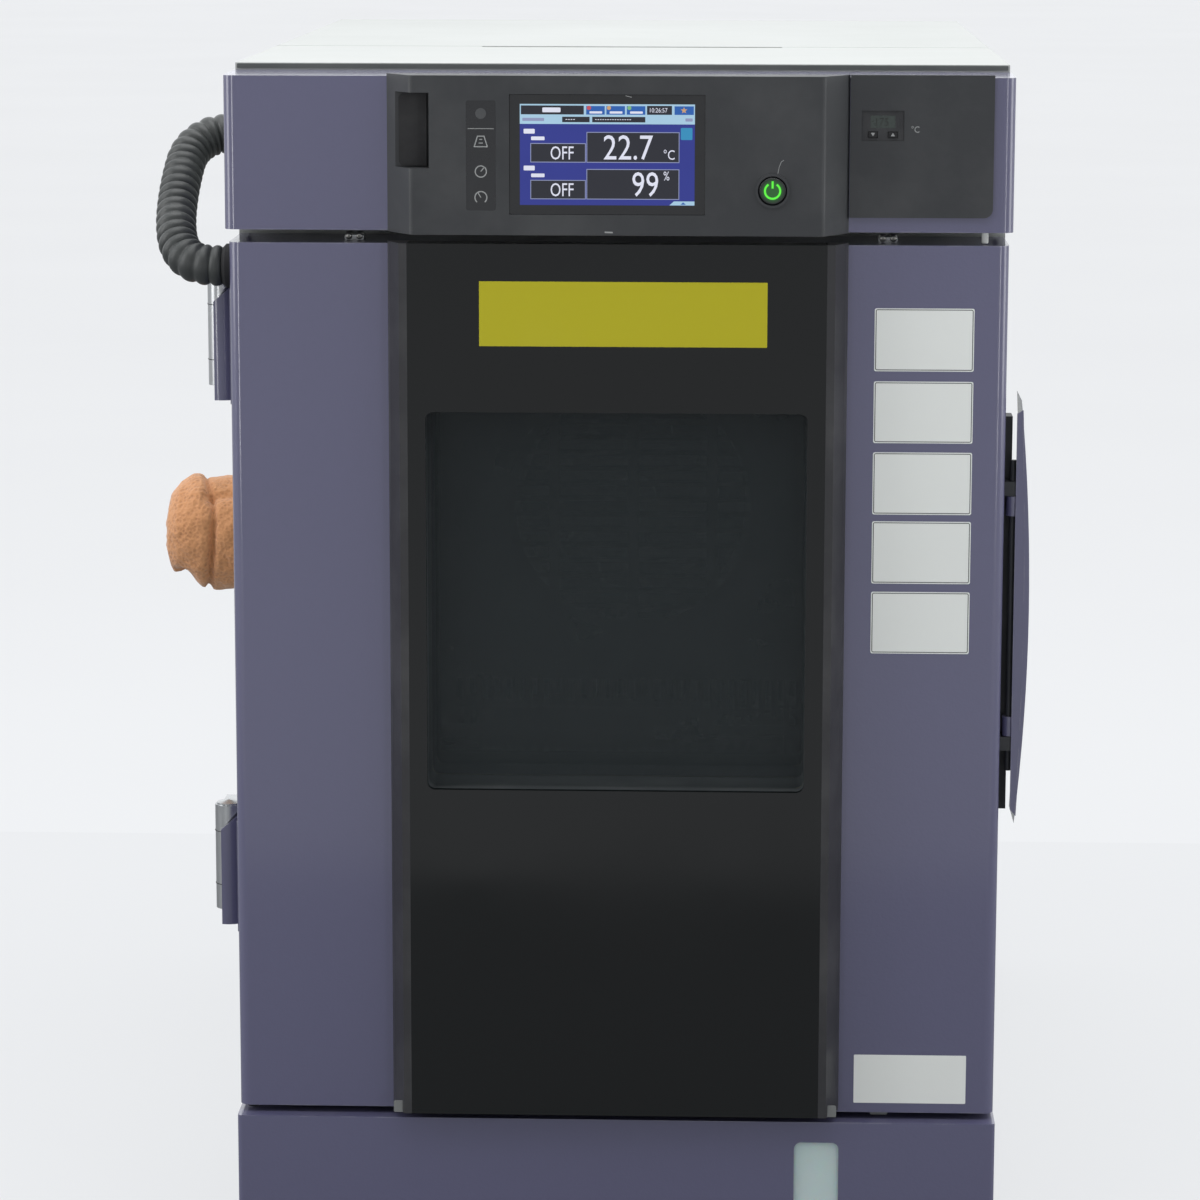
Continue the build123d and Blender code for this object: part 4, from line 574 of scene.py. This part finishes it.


# ---- Painted shade at the top plates ----
# A dark grey strip along the front edge of the top plates, and a black strip in the slot between the
#  two plates. Both are painted shade: dark sheets placed where the edge and the slot lie in shadow.
def upright(y, way=1):
    """An upright plane across the case for outlines. Depth runs back from y, or to the front with way -1."""
    return lambda u, v, depth: at(u, y + way * depth, v)


edge_shade_grey = moulding("edge_painted_shade", shade(86, 90, 88), 0.6, 0.08, 900.0, 0.00004)
# Dark grey strip on the plates' front edge: painted shade of that edge.
build("top_edge_painted_shade", [prism(box_outline(-side_x, 686.9, side_x, 689.5, 0.5), 0.0, 0.5, upright(61.5))],
      edge_shade_grey, "cabinet")
# Black strip in the slot between the plates: painted shade of the slot.
build("top_slot_painted_shade", [prism(box_outline(-92.0, 266.5, 92.0, 273.7, 1.0), 686.2, 689.2, at)], rubber,
      "cabinet")


# ---- Gap over the door ----
# Two small steel strikers stand on the door's upper edge, each with two screws on top and two in
# front. A pale nylon post hangs beside the right one, and dark screws hold the case's front edges.
satin = bare_metal("satin_plated_steel", shade(200, 202, 204), 0.26, 1.0, 0.5, 0.25, (200.0, 200.0, 20.0))
strikers, striker_screws = [], []
for x in (-149.0, 151.0):
    strikers.append(prism(box_outline(x - 5.4, 593.3, x + 5.4, 596.0, 0.7), 0.0, 12.0, upright(20.0)))
    for shift in (-3.0, 3.0):
        striker_screws.append(pan_screw(at(x + shift, 20.0, 595.4), (0, -1, 0), 1.9))
        striker_screws.append(pan_screw(at(x + shift, 27.0, 596.0), (0, 0, 1), 2.2))
build("door_strikers", strikers, satin, "door")
build("door_striker_screws", striker_screws, screw_metal, "door")
nylon = moulding("white_nylon", shade(236, 238, 234), 0.5, 0.05, 700.0, 0.00003)
build("gap_post", [turned([(1.6, -6.6), (1.9, -6.2), (1.9, 0.0)], at(204.6, 10.0, 600.5), (0, 0, 1), 24)],
      nylon, "cabinet")
dark_screw = bare_metal("blackened_screw", shade(44, 44, 46), 0.4, 0.8, 0.6, 0.4, (150.0, 150.0, 150.0),
                        drawn_colour=shade(52, 52, 54))
build("case_front_screws", [pan_screw(at(x, 62.0, z), (0, -1, 0), 1.8)
                            for x in (-213.5, 213.5) for z in (597.0, 91.0)],
      dark_screw, "cabinet")


# ---- Control panel ----
# One dark grained moulding with a ring for the power button, and a thin dark film plate beside it.
# A plated socket sits in its left end behind a rubber flap.
panel_plastic = moulding("panel_plastic", shade(50, 52, 55), 0.46, 0.05, 1500.0, 0.00005)
dress(panel_plastic, "control_panel")
dress(rubber, "usb_cover")
dress(satin, "usb_socket")


# ---- Touch screen ----
# A lit display behind black bordered glass: a light frame, a status row with small tabs, a pale bar
# and two measured values with their settings. Each field is a thin lit layer on the one below.
def glossy(name, colour, roughness, tint, patches, tint_roughness, size, **sockets):
    """A smooth finish with faint clouds in its colour and its gloss."""
    made = finish(name, colour, roughness, **sockets)
    layer(made, clouds, {"Colour": tint, "Shade": patches, "Roughness": tint_roughness, "Size": size},
          Base_Color="Colour", Roughness="Roughness")
    return made


glass_black = glossy("screen_border_glass", shade(22, 23, 26), 0.12, shade(26, 27, 30), 0.3, 0.13, 60.0,
                     Coat_Weight=0.6, Coat_Roughness=0.05)
dress(glass_black, "touch_screen")
screen_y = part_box("touch_screen")[0].y * 1000 - shift_y
screen_left, screen_top, layer_step = -53.3, 672.1, 0.02
capital_share = 0.69


def lit(name, colour, glow):
    """A lit film, with the faint mottling of a backlight."""
    made = finish(name, (0.01, 0.01, 0.012, 1), 0.25, Emission_Strength=glow)
    layer(made, clouds, {"Colour": colour, "Shade": 0.12, "Size": 45.0}, Emission_Color="Colour")
    return made


def on_screen(u, v, depth):
    return at(screen_left + u, screen_y - depth, screen_top - v)


def fields(name, level, material, outlines):
    """Lit areas that share a colour and lie on one layer of the display."""
    parts = [prism(outline, (level - 1) * layer_step, level * layer_step, on_screen) for outline in outlines]
    build(name, parts, material, "cabinet")


def figures(name, words, place_of, level, material, body):
    """Flat figures from a plain typeface, each (text, left, foot, height, width share), at one level."""
    parts = []
    for text, left, foot, height, squeeze in words:
        curve = bpy.data.curves.new("type", "FONT")
        curve.body = text
        curve.size = 1.0
        curve.resolution_u = 3
        typed = bpy.data.objects.new("type", curve)
        scene.collection.objects.link(typed)
        bpy.context.view_layer.update()
        flat = bpy.data.meshes.new_from_object(typed.evaluated_get(bpy.context.evaluated_depsgraph_get()))
        cap = height / capital_share
        corners = [place_of(left + corner.co.x * cap * squeeze, foot - corner.co.y * cap, level)
                   for corner in flat.vertices]
        parts.append((corners, [list(face.vertices) for face in flat.polygons]))
        bpy.data.objects.remove(typed)
        bpy.data.curves.remove(curve)
        bpy.data.meshes.remove(flat)
    build(name, parts, material, body)


frame_light = lit("display_frame_light", shade(176, 214, 238), 0.9)
display_blue = lit("display_blue", shade(42, 52, 142), 0.95)
field_dark = lit("display_field", shade(40, 42, 52), 0.7)
tab_blue = lit("display_tab", shade(36, 96, 178), 0.95)
figure_white = lit("display_figures", shade(226, 228, 244), 1.0)
line_grey = lit("display_line", shade(150, 158, 196), 0.9)
mark_red, mark_amber, mark_green, icon_teal = [
    lit(name, shade(*colour), 0.9) for name, colour in (
        ("display_red", (206, 84, 96)), ("display_amber", (216, 170, 120)),
        ("display_green", (130, 190, 130)), ("display_teal", (50, 148, 196)))]
fields("display_frame", 1, frame_light, [box_outline(0, 0, 96.2, 10.9)])
fields("display_ground", 1, display_blue, [box_outline(0, 10.9, 96.2, 55.4)])
fields("display_field_lines", 2, line_grey, [
    box_outline(5.8, 21.4, 36.3, 32.0), box_outline(36.7, 15.2, 87.8, 32.0),
    box_outline(5.8, 41.6, 36.3, 52.2), box_outline(36.7, 35.5, 87.8, 52.2)])
fields("display_fields", 3, field_dark, [
    box_outline(6.2, 21.8, 35.9, 31.6), box_outline(37.1, 15.6, 87.4, 31.6),
    box_outline(6.2, 42.0, 35.9, 51.8), box_outline(37.1, 35.9, 87.4, 51.8),
    box_outline(0.6, 0.8, 35.2, 5.7), box_outline(69.9, 0.8, 83.6, 5.7),
    box_outline(23.3, 6.9, 38.4, 9.9), box_outline(39.8, 6.9, 69.0, 9.9)])
fields("display_tabs", 2, tab_blue, [
    box_outline(36.5, 1.0, 46.7, 5.7), box_outline(47.6, 1.0, 57.8, 5.7), box_outline(58.8, 1.0, 69.0, 5.7),
    box_outline(85.0, 1.0, 95.6, 5.7)])
star = [(90.2 + r * math.sin(math.pi * k / 5), 3.3 - r * math.cos(math.pi * k / 5))
        for k, r in enumerate((1.9, 0.8) * 5)]
fields("display_star", 3, mark_amber, [star])
fields("display_dot_red", 3, mark_red, [box_outline(36.8, 0.9, 39.2, 3.1, 1.0)])
fields("display_dot_amber", 3, mark_amber, [box_outline(47.9, 0.9, 50.1, 3.1, 1.0)])
fields("display_dot_green", 3, mark_green, [box_outline(59.1, 0.9, 61.3, 3.1, 1.0)])
fields("display_icon", 2, icon_teal, [box_outline(88.5, 12.8, 94.9, 19.4, 0.6)])
fields("display_page_tab", 2, frame_light, [[(82.4, 55.3), (84.9, 53.1), (96.2, 53.1), (96.2, 55.3)]])
fields("display_page_arrow", 3, tab_blue, [[(88.5, 54.9), (90.0, 53.6), (91.5, 54.9)]])
bars = [box_outline(2.1, 13.6, 8.2, 16.2, 0.4), box_outline(6.2, 17.8, 13.6, 19.8, 0.4),
        box_outline(2.1, 33.8, 8.2, 36.4, 0.4), box_outline(6.2, 38.1, 13.6, 40.1, 0.4),
        box_outline(12.4, 1.9, 22.4, 4.5, 0.5)]
bars += [box_outline(x, 3.9, x + 7.0, 5.1, 0.3) for x in (38.3, 49.4, 60.6)]
bars += [box_outline(25.2 + 1.4 * k, 8.2, 26.1 + 1.4 * k, 8.6) for k in range(4)]
bars += [box_outline(41.4 + 1.35 * k, 8.2, 42.2 + 1.35 * k, 8.6) for k in range(15)]
fields("display_word_bars", 4, figure_white, bars)
fields("display_bar_words", 2, line_grey, [
    box_outline(1.4, 7.6, 13.4, 9.3, 0.3), box_outline(91.0, 7.6, 95.0, 9.3, 0.3)])
figures("display_figures", [
    ("22.7", 45.6, 30.2, 13.3, 0.84), ("99", 61.4, 50.4, 13.3, 0.80), ("OFF", 16.6, 30.3, 7.2, 0.72),
    ("OFF", 16.6, 50.5, 7.2, 0.72), ("°C", 78.8, 30.2, 5.2, 0.8), ("%", 79.0, 41.6, 4.9, 0.72),
    ("10:26:57", 70.9, 4.4, 2.4, 0.86)], on_screen, 4.5 * layer_step, figure_white, "cabinet")


# ---- Indicator strip ----
# A flush black window left of the screen: a lamp above a pale line, and three plain picture marks
# printed under its film, which light up when the chamber runs.
def ribbon(points, width, closed=False):
    """A line of even width along points, as one outline for each of its runs."""
    count = len(points)
    sides = []
    for i, point in enumerate(points):
        before = points[i - 1] if closed or i else None
        after = points[(i + 1) % count] if closed or i < count - 1 else None
        runs = [Vector(b) - Vector(a) for a, b in ((before, point), (point, after))
                if a is not None and b is not None]
        normals = [Vector((-run.y, run.x)).normalized() for run in runs]
        middle = sum(normals, Vector((0, 0)))
        middle = middle.normalized() if middle.length > 1e-6 else normals[0]
        reach = width / 2 / max(middle.dot(normals[0]), 0.3)
        sides.append((Vector(point) + middle * reach, Vector(point) - middle * reach))
    pairs = zip(sides, sides[1:] + sides[:1]) if closed else zip(sides, sides[1:])
    return [[tuple(a[0]), tuple(b[0]), tuple(b[1]), tuple(a[1])] for a, b in pairs]


def arc(cx, cy, radius, start, end, steps=20):
    angles = [math.radians(start + (end - start) * k / steps) for k in range(steps + 1)]
    return [(cx + radius * math.cos(angle), cy + radius * math.sin(angle)) for angle in angles]


on_panel = upright(-22.0, -1)
strip_film = glossy("indicator_film", shade(38, 39, 42), 0.22, shade(40, 41, 44), 0.25, 0.24, 80.0,
                    Coat_Weight=0.4, Coat_Roughness=0.1)
build("indicator_strip", [prism(box_outline(-83.0, 613.6, -66.6, 673.9, 1.2), -0.1, 0.05, on_panel)],
      strip_film, "cabinet")
print_grey = moulding("pale_print", shade(158, 160, 160), 0.6, 0.1, 900.0, 0.00001)
print_dim = moulding("dim_print", shade(70, 72, 74), 0.5, 0.1, 900.0, 0.00001)
mark_x = -74.8
marks = ribbon([(-82.0, 658.5), (-67.6, 658.5)], 0.35)
marks += ribbon(arc(mark_x, 635.0, 3.1, 0, 360), 0.6) + ribbon([(mark_x, 635.0), (-72.9, 637.4)], 0.5)
marks += ribbon([(-78.4, 648.6), (-76.6, 654.4), (-73.0, 654.4), (-71.2, 648.6)], 0.55, True)
marks += ribbon([(-76.0, 650.6), (-73.6, 650.6)], 0.5) + ribbon([(-75.6, 652.6), (-74.0, 652.6)], 0.5)
marks += ribbon(arc(mark_x, 620.7, 3.3, -50, 230), 0.6) + ribbon([(mark_x, 620.7), (-76.3, 623.1)], 0.5)
build("indicator_marks", [prism(line, 0.05, 0.08, on_panel) for line in marks], print_grey, "cabinet")
build("indicator_lamp", [prism(arc(mark_x, 666.8, 3.0, 0, 342, 19), 0.05, 0.10, on_panel)], print_dim,
      "cabinet")


# ---- Wear of the panel ----
# Light scratches and a rub in the moulding's grain, over and under the screen and above the button.
# Each is a thin pale line that years of use have left.
scratches = ribbon([(88.6, 634.4), (89.3, 638.0), (90.5, 641.0), (91.9, 641.9)], 0.28)
scratches += ribbon([(4.8, 676.8), (8.2, 675.9)], 0.3) + ribbon([(-6.5, 601.9), (-2.0, 601.7)], 0.8)
build("panel_scratches", [prism(line, 0.0, 0.02, on_panel) for line in scratches], print_grey, "cabinet")


# ---- Power button ----
# A black key in a raised ring. Its standby mark is a light guide, lit green, with a soft glow in the
# key around it.
key_x, key_z = 85.8, 625.0
key_black = glossy("power_key_black", shade(30, 33, 34), 0.22, shade(30, 33, 34), 0.3, 0.24, 120.0,
                   Coat_Weight=0.5, Coat_Roughness=0.12, Emission_Strength=0.3)
tree = key_black.node_tree
place = node(tree, "TexCoord").outputs["Object"]
lamp_middle = at(key_x, -22.8, key_z)
gap = node(tree, "VectorMath", {0: place, 1: tuple(lamp_middle)}, operation="DISTANCE").outputs["Value"]
halo = mixed(tree, ranged(tree, gap, 0.0068, 0.0042), (0, 0, 0, 1), shade(40, 150, 40))
tree.links.new(halo, tree.nodes["Principled BSDF"].inputs["Emission Color"])
dress(key_black, "power_button")
key_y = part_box("power_button")[0].y * 1000 - shift_y


def on_key(u, v, depth):
    return at(key_x + u, key_y - depth, key_z + v)


lamp_green = lit("power_mark_green", shade(90, 235, 60), 1.15)
mark = ribbon(arc(0, 0, 4.2, 122, 418, 28), 1.15) + ribbon([(0, 1.4), (0, 5.4)], 1.15)
build("power_mark", [prism(line, -0.05, 0.04, on_key) for line in mark], lamp_green, "power_key")


# ---- Film plate and overheat protector ----
# A dark film stuck on the housing. The protector is a plastic module that looks out of it, with a
# small liquid crystal display and two rubber keys.
dress(filled, "overheat_protector")
dress(rubber, "key_down", "key_up")
on_film = upright(-2.0, -1)
on_keys = upright(-1.8, -1)
on_protector = upright(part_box("overheat_protector")[0].y * 1000 - shift_y, -1)
lcd = glossy("small_display_glass", shade(60, 66, 64), 0.3, shade(68, 76, 73), 0.3, 0.28, 90.0)
build("protector_display", [prism(box_outline(139.8, 658.4, 153.4, 665.2, 0.4), -0.05, 0.06, on_protector)],
      lcd, "cabinet")
segment = moulding("display_segments", shade(34, 38, 36), 0.5, 0.02, 600.0, 0.00001)
figures("protector_figures", [("175", 141.6, -659.6, 4.3, 0.9)], lambda u, v, d: on_protector(u, -v, d), 0.10,
        segment, "cabinet")
down_arrow = [(139.9, 655.8), (142.3, 655.8), (141.1, 653.9)]
up_arrow = [(150.9, 653.9), (153.3, 653.9), (152.1, 655.8)]
build("protector_key_down_mark", [prism(down_arrow, 0.0, 0.05, on_keys)], print_grey, "set_key_down")
build("protector_key_up_mark", [prism(up_arrow, 0.0, 0.05, on_keys)], print_grey, "set_key_up")
figures("protector_unit", [("°C", 162.0, -656.0, 3.4, 0.9)], lambda u, v, d: on_film(u, -v, d), 0.04,
        print_grey, "cabinet")


# ---- Door front ----
# A painted steel shell, foam and a stainless liner behind it, and on its face a glossy black panel
#  between two satin trims with lighter caps. The faintly tinted panes sit in a grey frame, and their
#  pale grey colour is a painted haze of reflection. The breaker's lever at the rear is as glossy as
#  the panel.
dress(purple, "door_shell")
dress(steel, "door_liner")
dress(rigid, "door_insulation")
dress(rubber, "door_gasket")
black_panel = glossy("black_printed_panel", shade(8, 10, 11), 0.09, shade(9, 12, 13), 0.25, 0.10, 7.0)
dress(black_panel, "door_front_panel", "breaker_lever")
trim = moulding("satin_trim", shade(47, 47, 50), 0.38, 0.06, 1200.0, 0.00003)
dress(trim, "door_trims")
window_grey = moulding("window_frame_grey", shade(58, 62, 64), 0.42, 0.06, 1200.0, 0.00003)
dress(window_grey, "window_frame")
# The pane's pale grey base colour is painted reflection, which gives the window its haze.
pane_painted_haze = finish("tinted_pane_painted_haze", shade(64, 73, 76), 0.03, Alpha=0.14, IOR=1.5)
layer(pane_painted_haze, clouds, {"Colour": shade(64, 73, 76), "Shade": 0.2, "Size": 9.0}, Base_Color="Colour")
dress(pane_painted_haze, "window_panes")
cap_grey = moulding("trim_cap_grey", shade(120, 122, 122), 0.5, 0.08, 1000.0, 0.00004)
trim_x, cap_half = 123.6, 3.4
for side, name in ((-1, "left"), (1, "right")):
    outline = box_outline(side * trim_x - cap_half, 94.6, side * trim_x + cap_half, 101.2, 0.8)
    build("trim_cap_" + name, [prism(outline, -0.2, 0.9, upright(-15.0, -1))], cap_grey, "door")


# ---- Labels ----
# Plain vinyl labels with nothing on them: a yellow one across the black panel, five white ones
# with a thin dark edge down the right of the door, and one more at its foot.
vinyl = moulding("white_vinyl", shade(236, 239, 236), 0.34, 0.03, 300.0, 0.00003)
yellow_vinyl = moulding("yellow_vinyl", shade(184, 176, 14), 0.34, 0.02, 300.0, 0.00003)
label_edge = moulding("label_edge_print", shade(40, 42, 44), 0.5, 0.02, 900.0, 0.00001)
on_door, on_strip = upright(0.0, -1), upright(-18.0, -1)
thick, edge_top = 0.12, 0.14
white_labels = [(143.5, 523.0, 199.0, 558.3), (143.5, 482.5, 199.0, 517.3), (143.5, 442.0, 199.0, 477.3),
                (143.5, 402.6, 199.0, 438.1), (143.5, 362.5, 199.0, 397.9)]
edges, sheets = [], []
for x0, z0, x1, z1 in white_labels:
    sheets.append(prism(box_outline(x0, z0, x1, z1, 1.0), 0.0, thick, on_door))
    inner = box_outline(x0 + 0.8, z0 + 0.8, x1 - 0.8, z1 - 0.8, 0.8)
    edges += [prism(line, thick, edge_top, on_door) for line in ribbon(inner, 0.45, True)]
sheets.append(prism(box_outline(137.2, 98.6, 201.6, 127.3, 0.6), 0.0, thick, on_door))
build("white_labels", sheets, vinyl, "door")
build("white_label_edges", edges, label_edge, "door")
build("yellow_label", [prism(box_outline(-76.3, 537.9, 83.6, 574.0, 0.3), 0.0, thick, on_strip)],
      yellow_vinyl, "door")


# ---- Door bumpers ----
# Two small stops under the door's lower edge, a dark rubber one on the left and a grey plastic one
# on the right, which stand over the base when the door is shut.
bumper = [(3.4, -2.6), (3.9, -2.0), (3.9, 0.0)]
build("door_bumper_left", [turned(bumper, at(-211.0, 9.0, 93.0), (0, 0, 1), 28)], rubber, "door")
build("door_bumper_right", [prism(box_outline(147.0, 90.4, 157.0, 93.0, 0.9), 0.0, 8.0, upright(4.0))],
      cap_grey, "door")


# ---- Door handle ----
# A bowed steel blade on the door's edge, painted like the door, with a thin front wall folded in
# from its bow towards the dark carrier. Both turn out together and draw the latch.
dress(purple, "handle_lever")
dress(panel_plastic, "handle_carrier")
dress(satin, "latch_pawl", "latch_keeper")
bow_x, bow_rise, bow_middle, bow_half = 227.8, 3.1, 383.8, 121.8
bow = [(bow_x + bow_rise * (1 - ((z - bow_middle) / bow_half) ** 2), z) for z in range(266, 503, 9)]
build("handle_front_wall", [prism([(224.6, 498.0), (224.6, 270.0)] + bow, 0.0, 0.9, upright(12.1))],
      purple, "handle")


# ---- Hinges ----
# Knuckled barrels of satin plated steel that turn on plain pins, with thin black washers between the
# knuckles. Painted covers hide their leaves.
dress(satin, "case_hinges", "door_hinges", "hinge_pins")
dress(purple, "hinge_covers")
hinge_x, hinge_y = -227.5, 45.0
washer = [(8.15, -0.18), (8.3, -0.1), (8.3, 0.1), (8.15, 0.18)]
build("hinge_washers", [turned(washer, at(hinge_x, hinge_y, foot + level), (0, 0, 1), 40)
                        for foot in (199.8, 507.8) for level in (14.7, 46.3)],
      rubber, "cabinet")


# ---- Cable hose ----
# A corrugated black plastic conduit that carries the window heater's wires from the case to the
# door. It is moulded in even rings, and each end is pushed into a rubber gland.
dress(rubber, "hose_gland_case", "hose_gland_door")
conduit = moulding("conduit_plastic", shade(52, 55, 55), 0.42, 0.05, 500.0, 0.00004)
route = [(-225.0, 122.0, 646.0), (-236.0, 122.0, 646.0), (-246.4, 117.0, 642.5), (-253.4, 107.0, 635.5),
         (-255.0, 91.0, 624.5), (-255.5, 72.0, 611.0), (-254.5, 54.0, 598.0), (-251.0, 39.0, 587.0),
         (-244.0, 29.0, 580.5), (-234.5, 25.0, 577.7), (-223.8, 25.0, 577.7)]
guide = bpy.data.curves.new("hose_route", "CURVE")
guide.dimensions = "3D"
guide.resolution_u = 24
spline = guide.splines.new("NURBS")
spline.points.add(len(route) - 1)
for point, spot in zip(spline.points, route):
    point.co = (*at(*spot), 1.0)
spline.order_u = 3
spline.use_endpoint_u = True
guide_object = bpy.data.objects.new("hose_route", guide)
scene.collection.objects.link(guide_object)
bpy.context.view_layer.update()
line = bpy.data.meshes.new_from_object(guide_object.evaluated_get(bpy.context.evaluated_depsgraph_get()))
path = [corner.co.copy() for corner in line.vertices]
bpy.data.objects.remove(guide_object)
hose_length = sum((b - a).length for a, b in zip(path, path[1:]))


def swept(points, radius_at, step, sides):
    """A tube along points, its radius told by the distance along it."""
    total = sum((b - a).length for a, b in zip(points, points[1:]))
    count = int(total / step)
    corners, faces = [], []
    side = None
    passed, index = 0.0, 0
    for k in range(count + 1):
        goal = total * k / count
        while index < len(points) - 2 and passed + (points[index + 1] - points[index]).length < goal:
            passed += (points[index + 1] - points[index]).length
            index += 1
        run = points[index + 1] - points[index]
        spot = points[index] + run * min((goal - passed) / run.length, 1.0)
        along = run.normalized()
        side = along.orthogonal() if side is None else side - along * side.dot(along)
        side.normalize()
        other = along.cross(side)
        radius = radius_at(goal)
        for i in range(sides):
            angle = 2 * math.pi * i / sides
            corners.append(spot + (math.cos(angle) * side + math.sin(angle) * other) * radius)
        if k:
            for i in range(sides):
                j = (i + 1) % sides
                faces.append([(k - 1) * sides + i, (k - 1) * sides + j, k * sides + j, k * sides + i])
    faces += [list(range(sides))[::-1], [count * sides + i for i in range(sides)]]
    return corners, faces


ring_count, groove_radius, ring_rise = 23, 0.00965, 0.00195


def ring_radius(distance):
    """Even rings: round backs with a narrow groove between them."""
    phase = abs(math.sin(math.pi * ring_count * distance / hose_length))
    return groove_radius + ring_rise * phase ** 0.65


hose = build("cable_hose", [swept(path, ring_radius, 0.0006, 40)], conduit, "cabinet", 60)
hose.parent = None
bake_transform(hose)
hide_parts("hose")


# ---- Water tank drawer ----
# A translucent blow moulded tank with a blue screw cap, on a zinc tray behind the painted base front,
# which pulls out with it. It shows through the slot in the front.
dress(purple, "base_front_panel")
tank_plastic = moulding("tank_plastic", shade(214, 220, 218), 0.38, 0.05, 260.0, 0.00006,
                        Subsurface_Weight=0.35, Subsurface_Scale=0.02)
dress(tank_plastic, "water_tank")
cap_blue = moulding("cap_blue", shade(60, 80, 140), 0.4, 0.06, 700.0, 0.00005)
dress(cap_blue, "tank_cap")
